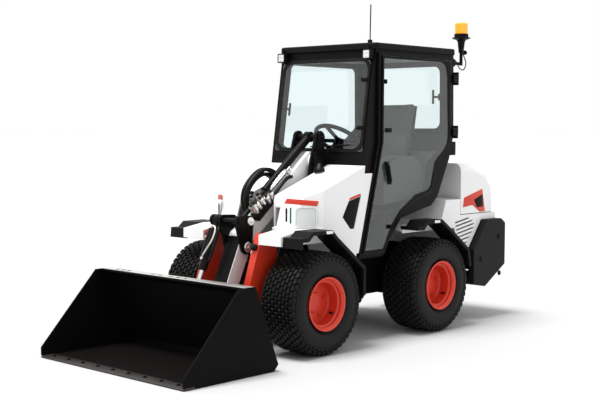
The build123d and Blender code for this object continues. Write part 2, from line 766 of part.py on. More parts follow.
def rear_chassis():
    """Rear half of the frame, with the pivot's tongue."""
    wide = (-PLATE_OUT, PLATE_OUT)
    top = REAR_CHASSIS_TOP
    frame = side_plates(CHASSIS_END, -FRONT_START, top, REAR_AXLE_X)
    frame += block(CHASSIS_END, REAR_AXLE_X - DRIVE_R - 21, *wide, CHASSIS_LOW, CHASSIS_LOW + SKIN_T)
    frame += block(CHASSIS_END, CHASSIS_END + PLATE_T, *wide, CHASSIS_LOW, top)
    corner = 12
    root = -FRONT_START - 10
    for low in (TONGUE_LOW, TONGUE_HIGH):
        frame += flat([(0, 0, LUG_R - PLAY), (root, 150, corner), (root, -150, corner)], low, low + LUG_T)
        frame += block(STEER_BASE[0] - 20, -FRONT_START, *wide, low, low + LUG_T)
    frame += upright(STEER_BASE, STEER_PIN_R, TONGUE_LOW, TONGUE_HIGH + PLAY)
    frame -= upright((0, 0), PIVOT_PIN_R + GAP / 6, TONGUE_LOW - PLAY, TONGUE_HIGH + LUG_T + PLAY)
    return frame


def pivot_pin():
    return upright((0, 0), PIVOT_PIN_R, LUG_LOW - 8, LUG_HIGH + LUG_T + PLAY)


def rear_body():
    """Deck and engine bay, open above, with slots in its sides and the fixed halves of the hood's hinges."""
    behind = REAR_AXLE_X - TYRE_R
    body = side([
        (-DECK_FRONT, DECK_TOP), (-DECK_FRONT, DECK_LOW), (behind - 21, DECK_LOW), (behind - 76, CHASSIS_TOP),
        (CHASSIS_END, REAR_CHASSIS_TOP), (CHASSIS_END - 160, WEIGHT_TOP), (TAIL_X, WEIGHT_TOP),
        (TAIL_X, SILL_TOP),
        (CHASSIS_END, SILL_TOP), (CHASSIS_END, STEP_TOP), (-STEP_FRONT, STEP_TOP),
        (-STEP_FRONT + 60, DECK_TOP),
    ], -BODY_HALF, BODY_HALF)
    skin = 15
    tail = TAIL_X + skin
    low = REAR_CHASSIS_TOP - PLAY
    body -= side([
        (behind - 36, DECK_LOW + 20), (behind - 86, low), (TAIL_X - 10, low), (tail, WEIGHT_TOP - 13),
        (tail, STEP_TOP - 12),
        (CHASSIS_END, STEP_TOP - 12), (CHASSIS_END, STEP_TOP - skin), (-STEP_FRONT - skin, STEP_TOP - skin),
        (-STEP_FRONT + 50, DECK_TOP - skin),
    ], -BODY_HALF + BODY_WALL, BODY_HALF - BODY_WALL)
    body -= upright((0, 0), SWING_R, DECK_LOW - 105, DECK_TOP + 40)
    ring = upright((0, 0), 2 * HOOD_REAR, SILL_TOP, STEP_TOP + 10)
    ring -= upright((0, 0), HOOD_ARC_R - 8, SILL_TOP, STEP_TOP + 10)
    body -= ring
    for row, (lead, end) in enumerate(LOUVRE_ENDS):
        top = LOUVRE_TOP - row * LOUVRE_PITCH
        rise = (end - lead) * LOUVRE_RISE
        slot = side([
            (behind - lead, top), (behind - end, top + rise), (behind - end, top + rise - LOUVRE_TALL),
            (behind - lead, top - LOUVRE_TALL),
        ], BODY_HALF - BODY_WALL - PLAY, BODY_HALF + PLAY)
        body -= slot
        body -= flip(slot)
    x, z = HOOD_HINGE
    for y in HOOD_HINGES:
        for start in (y - 1.5 * HOOD_KNUCKLE - GAP - 5, y + 0.5 * HOOD_KNUCKLE + GAP + 5):
            body += block(x - 8, TAIL_X + 4, start, start + HOOD_KNUCKLE, z - 12, SILL_TOP)
        body += across(HOOD_HINGE, HINGE_PIN_R, y - 1.5 * HOOD_KNUCKLE, y + 1.5 * HOOD_KNUCKLE)
    return body


def counterweight():
    """Cast weight round the engine bay's end, with a tow slot."""
    end = CHASSIS_END
    rear = -REAR_REACH
    half, cut = WEIGHT_HALF, WEIGHT_CUT
    body = side([
        (end, CHASSIS_LOW + 5), (end - 150, WEIGHT_LOW), (rear + 18, WEIGHT_LOW + 160),
        (rear, WEIGHT_TOP - 58),
        (-HOOD_REAR, WEIGHT_TOP), (end - 170, WEIGHT_TOP), (end - 15, REAR_CHASSIS_TOP + 7),
        (end, REAR_CHASSIS_TOP - 10),
    ], -half, half)
    low, high = WEIGHT_LOW - 45, WEIGHT_TOP + 52
    body &= plan([
        (end + 140, -half), (end + 140, half), (rear + cut, half), (rear, half - cut), (rear, cut - half),
        (rear + cut, -half),
    ], low, high)
    bay = BODY_HALF + GAP
    body -= block(rear + 140, end + 40, -bay, bay, ENGINE_LOW, high)
    deep = (rear - 10, rear + TOW_DEEP)
    body -= block(*deep, -45, 45, *TOW_SLOT)
    body -= block(*deep, -60, 60, TOW_TOP, high)
    body -= block(*deep, -60, 60, low, TOW_LOW)
    body -= upright(TOW_PIN, TOW_R, low, high)
    return body


def engine_block():
    """Plain block for the engine, sloped in front to clear the hood as it opens."""
    lead, rear = CHASSIS_END - 20, -HOOD_REAR + 80
    return side([
        (rear, ENGINE_LOW), (lead, ENGINE_LOW), (lead, HOOD_HINGE[1] - 7), (lead - 70, ENGINE_TOP),
        (rear, ENGINE_TOP),
    ], -ENGINE_HALF, ENGINE_HALF)


def hood_form(inset):
    """Hood drawn smaller by an inset, before its front is cut to its arc."""
    rear = -HOOD_REAR + inset
    top = HOOD_TOP - inset
    half = HOOD_HALF - inset
    lead = -HOOD_ARC_R + HOOD_ROUND + 100
    form = side([
        (lead, HOOD_LOW), (lead, top), (rear + 300 - 0.84 * inset, top),
        (rear + 115 - 0.4 * inset, HOOD_TOP - 60 - 0.86 * inset),
        (rear + 16, HOOD_TOP - 187 - 0.38 * inset), (rear, HOOD_LOW),
    ], -half, half)
    long_edges = form.edges().filter_by(lambda edge: abs(edge.center().Y) > half - 1)
    round_over = long_edges.filter_by(
        lambda edge: edge.center().Z > HOOD_LOW + 20 and edge.center().X < lead - 10
    )
    form = fillet(round_over, HOOD_ROUND - inset)
    return form - upright((0, 0), HOOD_ARC_R + inset, HOOD_LOW - 50, HOOD_TOP + 50)


def hood():
    """Hood shell, open below, with the moving knuckles of its hinges."""
    shell = hood_form(0) - hood_form(HOOD_WALL)
    x, z = HOOD_HINGE
    for y in HOOD_HINGES:
        ends = (y - HOOD_KNUCKLE / 2, y + HOOD_KNUCKLE / 2)
        shell += web([(x, z, HOOD_KNUCKLE_R - 3), (-HOOD_REAR + 1, HOOD_LOW + 12, 4)], *ends)
        shell -= across(HOOD_HINGE, HINGE_PIN_R + GAP, ends[0] - PLAY, ends[1] + PLAY)
    return shell


# lift linkage

def boom():
    """Lift arm bent at its elbow, with ears for the lift ram."""
    elbow = on_boom(BOOM_ELBOW, BOOM_BELOW, BOOM_R)
    wide = (-BOOM_HALF, BOOM_HALF)
    arm = web([on_boom(BOOM_HEAD, BOOM_BELOW, BOOM_R), (*BOOM_PIN, BOOM_R + 8), elbow], *wide)
    arm += web([(*elbow[:2], BOOM_R + 4), (*BUCKET_PIN, BOOM_R + 2)], *wide)
    arm += across(BOOM_PIN, BOOM_R + 8, -TOWER_IN + 8, TOWER_IN - 8)
    root = BOOM_BELOW - 30
    ear = [(*LIFT_EYE, EAR_R), on_boom(LIFT_ALONG - 40, root, 10), on_boom(LIFT_ALONG + 60, root, 10)]
    plate = web(ear, EAR_IN, EAR_IN + EAR_T)
    arm += plate + flip(plate)
    for pin, r in ((BOOM_PIN, BOOM_PIN_R), (CRANK_PIN, CRANK_PIN_R), (BUCKET_PIN, BUCKET_PIN_R)):
        arm -= across(pin, r + GAP, -TOWER_IN, TOWER_IN)
    return arm


def leveller():
    """Self-levelling ram, from the tower to the bell crank."""
    start = (LEVEL_PIN[0], 0, LEVEL_PIN[1])
    end = (LEVEL_END[0], 0, LEVEL_END[1])
    middle = between(LEVEL_PIN, LEVEL_END, 0.66)
    ram = bar(start, (middle[0], 0, middle[1]), 28)
    ram += bar(start, end, 16)
    for pin, r, bore in ((LEVEL_PIN, 36, LEVEL_PIN_R), (LEVEL_END, 30, TILT_PIN_R)):
        ram += across(pin, r, -TILT_HALF, TILT_HALF)
        ram -= across(pin, bore + GAP, -TILT_HALF - 2 * PLAY, TILT_HALF + 2 * PLAY)
    return ram


def bell_crank():
    """Two plates on the boom's elbow, with a third for the tilt ram's fork."""
    ring = [(*CRANK_PIN, 46), (*LEVEL_END, 36), (*TILT_TOP, 36)]
    crank = web(ring, CRANK_IN, CRANK_OUT)
    crank += web(ring, -CRANK_OUT, -CRANK_IN)
    outer = TILT_Y - TILT_FORK - FORK_T
    crank += web([(*LEVEL_END, 30), (*TILT_TOP, 36)], outer, outer + FORK_T)
    crank += across(CRANK_PIN, CRANK_PIN_R, -CRANK_OUT - 8, CRANK_OUT + 8)
    crank += across(LEVEL_END, TILT_PIN_R, outer - 6, CRANK_OUT + 6)
    crank -= across(TILT_TOP, TILT_PIN_R + GAP, outer - 8, CRANK_OUT + 6)
    return crank


def tilt_pin():
    return across(TILT_TOP, TILT_PIN_R, TILT_Y - TILT_FORK - FORK_T - 6, CRANK_OUT + 6)


def bucket_pin():
    """Bucket's pivot pin, with a keeper disc outside the coupler's right ear and a wider one outside its left."""
    end = CRANK_OUT + 4 + PLAY
    pin = across(BUCKET_PIN, BUCKET_PIN_R, -end, end)
    pin += across(BUCKET_PIN, KEEPER_R, -end - KEEPER_T, -end)
    return pin + across(BUCKET_PIN, COUNTER_R, end, end + COUNTER_T)


def ram_barrel(start, end, y, share, r, eye, bore, half):
    """Cylinder barrel with its eye at start, reaching a share of the way to end."""
    stop = between(start, end, share)
    foot = between(start, end, 0.09)
    inner = between(start, end, 0.14)
    past = between(stop, inner, -1)
    barrel = bar((foot[0], y, foot[1]), (stop[0], y, stop[1]), r)
    barrel += bar((start[0], y, start[1]), (inner[0], y, inner[1]), half)
    barrel += across(start, eye, y - half, y + half)
    barrel -= across(start, bore + GAP, y - 2 * half, y + 2 * half)
    barrel -= bar((inner[0], y, inner[1]), (past[0], y, past[1]), r - 8)
    return barrel


def ram_rod(start, end, y, share, r, eye, half, piston):
    """Cylinder rod with its eye at end and its piston back in the barrel."""
    foot = between(start, end, share)
    tip = between(start, end, share + 0.05)
    rod = bar((foot[0], y, foot[1]), (end[0], y, end[1]), r)
    rod += bar((foot[0], y, foot[1]), (tip[0], y, tip[1]), piston)
    rod += across(end, eye, y - half, y + half)
    return rod


def lift_barrel():
    return ram_barrel(LIFT_BASE, LIFT_EYE, 0, 0.84, 40, EAR_R, LIFT_PIN_R, LIFT_HALF)


def lift_rod():
    return ram_rod(LIFT_BASE, LIFT_EYE, 0, 0.17, 20, 32, LIFT_HALF, 31.5)


def tilt_barrel():
    return ram_barrel(TILT_TOP, TILT_END, TILT_Y, 0.75, 28, 34, TILT_PIN_R, TILT_HALF)


def tilt_rod():
    return ram_rod(TILT_TOP, TILT_END, TILT_Y, 0.31, 14, 30, TILT_HALF, 19.5)


# bucket and its coupler

def back_point(up, off):
    """Side-view point up along the bucket's back, and off behind it."""
    length = math.hypot(BACK_TOP[0] - HEEL[0], BACK_TOP[1] - HEEL[1])
    ux = (BACK_TOP[0] - HEEL[0]) / length
    uz = (BACK_TOP[1] - HEEL[1]) / length
    return (HEEL[0] + up * ux - off * uz, HEEL[1] + up * uz + off * ux)


def coupler():
    """Plate behind the bucket, with ears for its pin and for the tilt ram."""
    low, high = COUPLER_SPAN
    plate = [
        back_point(low, GAP), back_point(high, GAP), back_point(high, COUPLER_T), back_point(low, COUPLER_T),
    ]
    frame = side(plate, -COUPLER_HALF, COUPLER_HALF)
    roots = [(*back_point(up, 16), 8) for up in (low + 70, high - 110, high - 15)]
    ear = web([(*BUCKET_PIN, 46), *roots[:2]], CRANK_IN, CRANK_OUT + 4)
    frame += ear + flip(ear)
    fork = [(*TILT_END, 38), *roots[1:]]
    inner = TILT_Y + TILT_HALF + PLAY
    frame += web(fork, inner, inner + 20)
    outer = TILT_Y - TILT_HALF - PLAY
    frame += web(fork, outer - 20, outer)
    frame -= across(BUCKET_PIN, BUCKET_PIN_R + GAP, -CRANK_OUT - 16, CRANK_OUT + 16)
    return frame


def bucket():
    """Folded shell with its side plates, cut back for the cutting edge."""
    brow = BACK_TOP[0] + BUCKET_BROW
    body = side([
        HEEL, (HEEL[0] + 35, BUCKET_LOW), (FRONT_REACH, BUCKET_LOW), (FRONT_REACH, BUCKET_LOW + LIP_TALL),
        (brow, BUCKET_TOP), BACK_TOP,
    ], -BUCKET_HALF, BUCKET_HALF)
    floor = BUCKET_LOW + SHEET
    above = BUCKET_TOP + 180
    past = FRONT_REACH + 130
    lip = BACK_TOP[0] + 85
    body -= side([
        (HEEL[0] + SHEET + 1, HEEL[1] + 2), (HEEL[0] + 39, floor), (past, floor), (past, above), (lip, above),
        (lip, BUCKET_TOP - SHEET - 2), back_point(460, -SHEET),
    ], -BUCKET_HALF + SHEET, BUCKET_HALF - SHEET)
    half = BUCKET_HALF + PLAY
    return body - block(FRONT_REACH - EDGE_WIDE, past, -half, half, BUCKET_LOW - PLAY, BUCKET_LOW + EDGE_T)


def bucket_edge():
    low, rear = BUCKET_LOW, FRONT_REACH - EDGE_WIDE
    return side([
        (rear, low), (FRONT_REACH, low), (FRONT_REACH, low + 5), (FRONT_REACH - 15, low + EDGE_T),
        (rear, low + EDGE_T),
    ], -BUCKET_HALF, BUCKET_HALF)


# steering ram

def steer_barrel():
    stop = between(STEER_BASE, STEER_EYE, 0.72)
    inner = between(STEER_BASE, STEER_EYE, 0.10)
    r = STEER_PIN_R + 12
    barrel = bar((*STEER_BASE, STEER_Z), (*stop, STEER_Z), r)
    barrel += upright(STEER_BASE, r, STEER_Z - 22, STEER_Z + 22)
    barrel -= upright(STEER_BASE, STEER_PIN_R + GAP, STEER_Z - 40, STEER_Z + 40)
    barrel -= bar((*inner, STEER_Z), (*STEER_EYE, STEER_Z), r - 7)
    return barrel


def steer_rod():
    foot = between(STEER_BASE, STEER_EYE, 0.32)
    tip = between(STEER_BASE, STEER_EYE, 0.36)
    piston = STEER_PIN_R + 4.5
    rod = bar((*foot, STEER_Z), (*STEER_EYE, STEER_Z), 14)
    rod += bar((*foot, STEER_Z), (*tip, STEER_Z), piston)
    rod += upright(STEER_EYE, 26, STEER_Z - 20, STEER_Z + 20)
    return rod


SINGLE_PIECES = (
    front_chassis, front_posts, boom_tower, nose_panels, headlights, front_fenders,
    cab_frame, cab_tub, cab_roof, cab_glass, door_frame, door_glass,
    seat_frame, seat_cushion, seat_back, steering_column, steering_wheel,
    work_lights, rear_lamps, beacon_mount, beacon_lens, antenna,
    rear_chassis, pivot_pin, rear_body, rear_fenders, counterweight, engine_block, hood,
    boom, leveller, bell_crank, tilt_pin, bucket_pin, lift_barrel, lift_rod, tilt_barrel, tilt_rod,
    coupler, bucket, bucket_edge, steer_barrel, steer_rod,
)


def pieces():
    """Every node's name and shape, before the shift to the machine's middle."""
    nodes = {}
    for name, x in (("front", FRONT_AXLE_X), ("rear", REAR_AXLE_X)):
        for kind, make in (("tyre", tyre), ("rim", rim)):
            left = make(x)
            nodes[kind + "_" + name + "_left"] = left
            nodes[kind + "_" + name + "_right"] = flip(left)
        nodes[name + "_axle"] = axle(x)
    for make in SINGLE_PIECES:
        nodes[make.__name__] = make()
    return nodes


def main():
    os.makedirs("parts", exist_ok=True)
    for name, shape in pieces().items():
        export_step(Pos(PIVOT_X, 0, 0) * shape, os.path.join("parts", name + ".step"))


if __name__ == "__main__":
    main()
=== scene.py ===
"""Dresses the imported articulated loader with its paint, rubber, glass, lamps, hoses and small fittings."""

import json
import logging
import math
from collections.abc import Sequence
from dataclasses import dataclass
from enum import Enum

import bmesh
import bpy
from mathutils import Matrix, Vector


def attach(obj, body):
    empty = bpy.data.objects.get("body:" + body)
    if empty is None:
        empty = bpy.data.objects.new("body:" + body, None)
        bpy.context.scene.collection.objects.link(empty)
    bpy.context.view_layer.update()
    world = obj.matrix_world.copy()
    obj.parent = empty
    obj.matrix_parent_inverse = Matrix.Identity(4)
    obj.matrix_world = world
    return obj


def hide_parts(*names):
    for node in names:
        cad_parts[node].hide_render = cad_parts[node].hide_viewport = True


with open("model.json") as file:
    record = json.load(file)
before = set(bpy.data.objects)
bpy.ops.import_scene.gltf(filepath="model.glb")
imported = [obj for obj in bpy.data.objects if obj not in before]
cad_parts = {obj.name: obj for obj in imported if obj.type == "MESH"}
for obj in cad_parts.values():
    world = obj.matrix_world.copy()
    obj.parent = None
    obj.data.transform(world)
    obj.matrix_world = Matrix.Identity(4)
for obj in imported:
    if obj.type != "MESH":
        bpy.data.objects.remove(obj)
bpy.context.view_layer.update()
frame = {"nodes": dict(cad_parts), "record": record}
LOG = logging.getLogger("loader")

# Sizes are metres with X = 0 on the steering pivot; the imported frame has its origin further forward.
PIVOT_X = -0.1385
BODY_HALF = 0.450
HOOD_HALF = 0.445
DOOR_FACE = 0.461
SMOOTH_ANGLE = math.radians(38)
MERGE = 1e-6
DUST_TONE = (0.30, 0.27, 0.23, 1.0)
SCRATCH_TONE = (0.35, 0.34, 0.33, 1.0)
COAT_GLOSS = 0.12
RELIEF = 0.002

Colour = tuple[float, float, float]
Point2 = tuple[float, float]
Point3 = tuple[float, float, float]


def spot(x: float, y: float, z: float) -> Vector:
    """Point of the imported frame, from a point drawn about the steering pivot."""
    return Vector((x + PIVOT_X, y, z))


class Graph:
    """Adds and links the nodes of one tree."""

    def __init__(self, tree: bpy.types.NodeTree) -> None:
        """Keeps the tree that the nodes go into."""
        self.tree = tree

    def feed(self, socket: bpy.types.NodeSocket, value: object) -> None:
        """Links a socket to an input, or sets the input's own value.

        Args:
            socket: The input to fill.
            value: An output socket, or a plain value.
        """
        if isinstance(value, bpy.types.NodeSocket):
            self.tree.links.new(value, socket)
        else:
            socket.default_value = value

    def node(self, kind: str, feeds: dict | None = None, **settings: object) -> bpy.types.Node:
        """Makes a node.

        Args:
            kind: Blender's name of the node's type.
            feeds: Inputs by name or number, with what fills them.
            **settings: The node's own properties.

        Returns:
            The new node.
        """
        made = self.tree.nodes.new(kind)
        for key, value in settings.items():
            setattr(made, key, value)
        for key, value in (feeds or {}).items():
            self.feed(made.inputs[key], value)
        return made

    def math(self, operation: str, *values: object) -> bpy.types.NodeSocket:
        """Output of a Math node.

        Args:
            operation: The node's operation.
            *values: Its inputs, as sockets or numbers.

        Returns:
            The result's socket.
        """
        return self.node("ShaderNodeMath", dict(enumerate(values)), operation=operation).outputs[0]

    def noise(self, place: object, scale: object, detail: float = 3.0) -> bpy.types.NodeSocket:
        """Value of a noise texture at a place."""
        return self.node("ShaderNodeTexNoise", {"Vector": place, "Scale": scale,
                                                "Detail": detail}).outputs[0]


class Effects:
    """Shader node groups that the finishes share, each built once."""

    @staticmethod
    def _group(name: str, inputs: Sequence[tuple[str, str]], outputs: Sequence[tuple[str, str]]) -> tuple:
        """Starts a shader group with named sockets.

        Args:
            name: The group's name.
            inputs: Names and kinds of its inputs.
            outputs: Names and kinds of its outputs.

        Returns:
            The group, its graph, and its input and output nodes.
        """
        tree = bpy.data.node_groups.new(name, "ShaderNodeTree")
        for way, sockets in (("INPUT", inputs), ("OUTPUT", outputs)):
            for label, kind in sockets:
                tree.interface.new_socket(label, in_out=way, socket_type="NodeSocket" + kind)
        graph = Graph(tree)
        return tree, graph, graph.node("NodeGroupInput").outputs, graph.node("NodeGroupOutput").inputs

    @classmethod
    def grain(cls) -> bpy.types.NodeTree:
        """Group for a surface's grain: an uneven tone, an uneven gloss and a fine relief.

        Returns:
            The shared tree.
        """
        found = bpy.data.node_groups.get("surface_grain")
        if found:
            return found
        tree, graph, given, out = cls._group(
            "surface_grain",
            (("Vector", "Vector"), ("Tone", "Color"), ("Scale", "Float"), ("Spread", "Float"),
             ("Gloss", "Float"), ("Patch", "Float"), ("Depth", "Float"), ("Normal", "Vector")),
            (("Color", "Color"), ("Roughness", "Float"), ("Normal", "Vector")))
        fine = graph.noise(given["Vector"], given["Scale"])
        wide = graph.noise(given["Vector"], graph.math("MULTIPLY", given["Scale"], 0.02), 4.0)
        lift = graph.math("MULTIPLY_ADD", graph.math("SUBTRACT", wide, 0.5),
                          graph.math("MULTIPLY", given["Spread"], 4.0), 1.0)
        graph.feed(out["Color"], graph.node(
            "ShaderNodeVectorMath", {"Vector": given["Tone"], "Scale": lift}, operation="SCALE").outputs[0])
        mixed = graph.math("ADD", graph.math("MULTIPLY", wide, 0.7), graph.math("MULTIPLY", fine, 0.3))
        rough = graph.math("MULTIPLY_ADD", graph.math("SUBTRACT", mixed, 0.5), given["Patch"],
                           given["Gloss"])
        graph.feed(out["Roughness"], graph.math("MINIMUM", graph.math("MAXIMUM", rough, 0.02), 1.0))
        graph.feed(out["Normal"], graph.node("ShaderNodeBump", {
            "Strength": given["Depth"], "Distance": RELIEF, "Height": fine,
            "Normal": given["Normal"]}).outputs[0])
        return tree

    @classmethod
    def dust(cls) -> bpy.types.NodeTree:
        """Group for light dust that thins out with height.

        Returns:
            The shared tree.
        """
        found = bpy.data.node_groups.get("settled_dust")
        if found:
            return found
        tree, graph, given, out = cls._group(
            "settled_dust",
            (("Vector", "Vector"), ("Color", "Color"), ("Dust", "Color"), ("Top", "Float"),
             ("Amount", "Float")),
            (("Color", "Color"), ("Mask", "Float")))
        height = graph.node("ShaderNodeSeparateXYZ", {0: given["Vector"]}).outputs["Z"]
        near = graph.math("MAXIMUM", graph.math("SUBTRACT", 1.0,
                                                graph.math("DIVIDE", height, given["Top"])), 0.0)
        specks = graph.math("POWER", graph.noise(given["Vector"], 38.0, 6.0), 2.0)
        mask = graph.math("MULTIPLY", graph.math("MULTIPLY", near, specks), given["Amount"])
        mixed = graph.node("ShaderNodeMix", {0: mask, 6: given["Color"], 7: given["Dust"]},
                           data_type="RGBA")
        graph.feed(out["Color"], mixed.outputs[2])
        graph.feed(out["Mask"], mask)
        return tree

    @classmethod
    def scratch(cls) -> bpy.types.NodeTree:
        """Group for fine scratches along X, lighter than the surface.

        Returns:
            The shared tree.
        """
        found = bpy.data.node_groups.get("fine_scratches")
        if found:
            return found
        tree, graph, given, out = cls._group(
            "fine_scratches", (("Vector", "Vector"), ("Color", "Color"), ("Amount", "Float")),
            (("Color", "Color"), ("Mask", "Float")))
        drawn = graph.node("ShaderNodeMapping", {"Vector": given["Vector"],
                                                 "Scale": (14.0, 420.0, 420.0)}).outputs[0]
        lines = graph.math("GREATER_THAN", graph.noise(drawn, 1.0, 2.0), 0.62)
        mask = graph.math("MULTIPLY", lines, given["Amount"])
        mixed = graph.node("ShaderNodeMix", {0: mask, 6: given["Color"], 7: SCRATCH_TONE}, data_type="RGBA")
        graph.feed(out["Color"], mixed.outputs[2])
        graph.feed(out["Mask"], mask)
        return tree


@dataclass(frozen=True)
class Finish:
    """A surface finish, and the record's material slot that it stands for."""

    name: str
    slot: str
    tone: Colour
    gloss: float
    metal: float = 0.0
    coat: float = 0.0
    specular: float = 0.5
    grain: float = 260.0
    depth: float = 0.04
    spread: float = 0.04
    patch: float = 0.08
    dust: float = 0.0
    dust_top: float = 0.9
    scratch: float = 0.0
    edge: float = 0.0
    clear: float = 0.0
    glow: float = 0.0

    def material(self) -> bpy.types.Material:
        """Material of the finish, built on first use.

        Returns:
            The finish's material.
        """
        found = bpy.data.materials.get(self.name)
        if found:
            return found
        made = bpy.data.materials.new(self.name)
        made.use_nodes = True
        made.diffuse_color = (*self.tone, 1.0)
        made.node_tree.nodes.clear()
        graph = Graph(made.node_tree)
        place = graph.node("ShaderNodeTexCoord").outputs["Object"]
        if self.edge:
            normal = graph.node("ShaderNodeBevel", {"Radius": self.edge}, samples=6).outputs[0]
        else:
            normal = graph.node("ShaderNodeNewGeometry").outputs["Normal"]
        grain = graph.node("ShaderNodeGroup", node_tree=Effects.grain())
        for key, value in (("Vector", place), ("Tone", (*self.tone, 1.0)), ("Scale", self.grain),
                           ("Spread", self.spread), ("Gloss", self.gloss), ("Patch", self.patch),
                           ("Depth", self.depth), ("Normal", normal)):
            graph.feed(grain.inputs[key], value)
        colour = grain.outputs["Color"]
        if self.scratch:
            scratch = graph.node("ShaderNodeGroup", node_tree=Effects.scratch())
            for key, value in (("Vector", place), ("Color", colour), ("Amount", self.scratch)):
                graph.feed(scratch.inputs[key], value)
            colour = scratch.outputs["Color"]
        if self.dust:
            dust = graph.node("ShaderNodeGroup", node_tree=Effects.dust())
            for key, value in (("Vector", place), ("Color", colour), ("Dust", DUST_TONE),
                               ("Top", self.dust_top), ("Amount", self.dust)):
                graph.feed(dust.inputs[key], value)
            colour = dust.outputs["Color"]
        shader = graph.node("ShaderNodeBsdfPrincipled", {
            "Base Color": colour, "Roughness": grain.outputs["Roughness"],
            "Normal": grain.outputs["Normal"], "Metallic": self.metal, "Coat Weight": self.coat,
            "Coat Roughness": COAT_GLOSS, "Specular IOR Level": self.specular,
            "Transmission Weight": self.clear,
        })
        if self.glow:
            shader.inputs["Emission Color"].default_value = (*self.tone, 1.0)
            shader.inputs["Emission Strength"].default_value = self.glow
        graph.node("ShaderNodeOutputMaterial", {"Surface": shader.outputs[0]})
        return made


class Look(Enum):
    """The loader's finishes."""

    WHITE = Finish("white_enamel", "white_paint", (0.80, 0.80, 0.80), 0.30, coat=0.35, grain=420.0,
                   depth=0.02, spread=0.012, edge=0.004)
    ORANGE = Finish("orange_enamel", "orange_paint", (0.60, 0.034, 0.013), 0.34, specular=0.35, coat=0.15,
                    grain=420.0, depth=0.02, spread=0.03, edge=0.003, dust=0.04)
    BLACK = Finish("black_enamel", "black_paint", (0.0042, 0.0034, 0.0035), 0.40, specular=0.09,
                   grain=420.0, depth=0.03, spread=0.08, edge=0.003)
    BUCKET = Finish("bucket_enamel", "black_paint", (0.0034, 0.0026, 0.0026), 0.55, specular=0.05,
                    grain=300.0, depth=0.05, spread=0.10, scratch=0.004, edge=0.0025, dust=0.01,
                    dust_top=0.5)
    CAST = Finish("cast_satin", "cast_black", (0.0085, 0.0072, 0.0070), 0.52, specular=0.12, grain=230.0,
                  depth=0.16, spread=0.08, edge=0.012, dust=0.02)
    PLASTIC = Finish("grained_plastic", "black_plastic", (0.0048, 0.0041, 0.0041), 0.48, specular=0.10,
                     grain=900.0, depth=0.14, spread=0.06, edge=0.004)
    RUBBER = Finish("tyre_rubber", "tyre", (0.0046, 0.0042, 0.0041), 0.50, specular=0.16, grain=420.0,
                    depth=0.12, spread=0.12, dust=0.02, dust_top=0.7)
    HOSE = Finish("hose_rubber", "black_plastic", (0.0040, 0.0038, 0.0038), 0.42, specular=0.18,
                  grain=700.0, depth=0.10)
    GLASS = Finish("cab_glass_tint", "tinted_glass", (0.915, 0.980, 0.990), 0.02, specular=0.30,
                   grain=30.0, depth=0.0, spread=0.004, patch=0.01, clear=1.0)
    # Door glass: tinted like the windscreen, and darker and greener as painted shade of the cab's inside seen
    # through it.
    DOOR_GLASS_SHADED = Finish("door_glass_tint_and_shade", "tinted_glass", (0.885, 0.955, 0.940), 0.02, specular=0.26,
                        grain=30.0, depth=0.0, spread=0.004, patch=0.01, clear=1.0)
    LENS = Finish("lamp_lens_clear", "lamp_lens", (0.62, 0.65, 0.64), 0.22, coat=0.5, grain=90.0,
                  depth=0.10, spread=0.05)
    SILVER = Finish("lamp_silver", "lamp_lens", (0.75, 0.77, 0.78), 0.18, metal=0.8, grain=300.0,
                    depth=0.05)
    TEAL = Finish("lamp_teal", "lamp_lens", (0.010, 0.115, 0.085), 0.25, coat=0.5, grain=200.0)
    RED = Finish("tail_lens", "red_lens", (0.45, 0.012, 0.010), 0.18, coat=0.6, grain=160.0, depth=0.12)
    AMBER = Finish("beacon_amber", "amber_lens", (0.95, 0.36, 0.012), 0.12, coat=0.4, grain=120.0,
                   depth=0.10, glow=0.35)
    SEAT = Finish("seat_vinyl", "seat_cover", (0.105, 0.118, 0.112), 0.58, specular=0.30, grain=520.0,
                  depth=0.30, spread=0.06)
    TRIM = Finish("cab_trim", "black_plastic", (0.150, 0.168, 0.158), 0.60, specular=0.25, grain=800.0,
                  depth=0.20, spread=0.05)
    EDGE = Finish("worn_edge", "pin_steel", (0.030, 0.026, 0.024), 0.42, metal=0.5, grain=260.0,
                  depth=0.10, spread=0.20, scratch=0.10, edge=0.002)
    CHROME = Finish("rod_plating", "rod_chrome", (0.78, 0.78, 0.79), 0.10, metal=1.0, grain=600.0,
                    depth=0.01, spread=0.02)
    STEEL = Finish("turned_steel", "pin_steel", (0.50, 0.49, 0.48), 0.34, metal=1.0, grain=480.0,
                   depth=0.06, scratch=0.15, edge=0.001)
    ZINC = Finish("zinc_plate", "pin_steel", (0.70, 0.69, 0.66), 0.30, metal=0.9, grain=320.0, depth=0.06,
                  spread=0.10)
    IRON = Finish("engine_iron_rough", "engine_iron", (0.055, 0.055, 0.055), 0.60, metal=0.3, grain=200.0,
                  depth=0.25, spread=0.12, edge=0.004)

    def dress(self, obj: bpy.types.Object) -> None:
        """Gives an object this finish alone."""
        obj.data.materials.clear()
        obj.data.materials.append(self.value.material())


class Plane(Enum):
    """Flat drawings, as the axes of their first and second size and of their depth."""

    SIDE = ((1, 0, 0), (0, 0, 1), (0, 1, 0))
    TOP = ((1, 0, 0), (0, 1, 0), (0, 0, 1))
    FRONT = ((0, 1, 0), (0, 0, 1), (1, 0, 0))

    def matrix(self) -> Matrix:
        """Matrix from drawing to machine."""
        turn = Matrix(self.value).transposed().to_4x4()
        return Matrix.Translation((PIVOT_X, 0, 0)) @ turn


def tilted(origin: Point3, first: Point3, second: Point3) -> Matrix:
    """Matrix of a slanted drawing.

    Args:
        origin: Point about the pivot where the drawing starts.
        first: Direction of its first size.
        second: Direction of its second size.

    Returns:
        Matrix from drawing to machine, with the depth square to both directions.
    """
    one, two = Vector(first).normalized(), Vector(second).normalized()
    axes = Matrix((one, two, one.cross(two))).transposed().to_4x4()
    return Matrix.Translation(spot(*origin)) @ axes


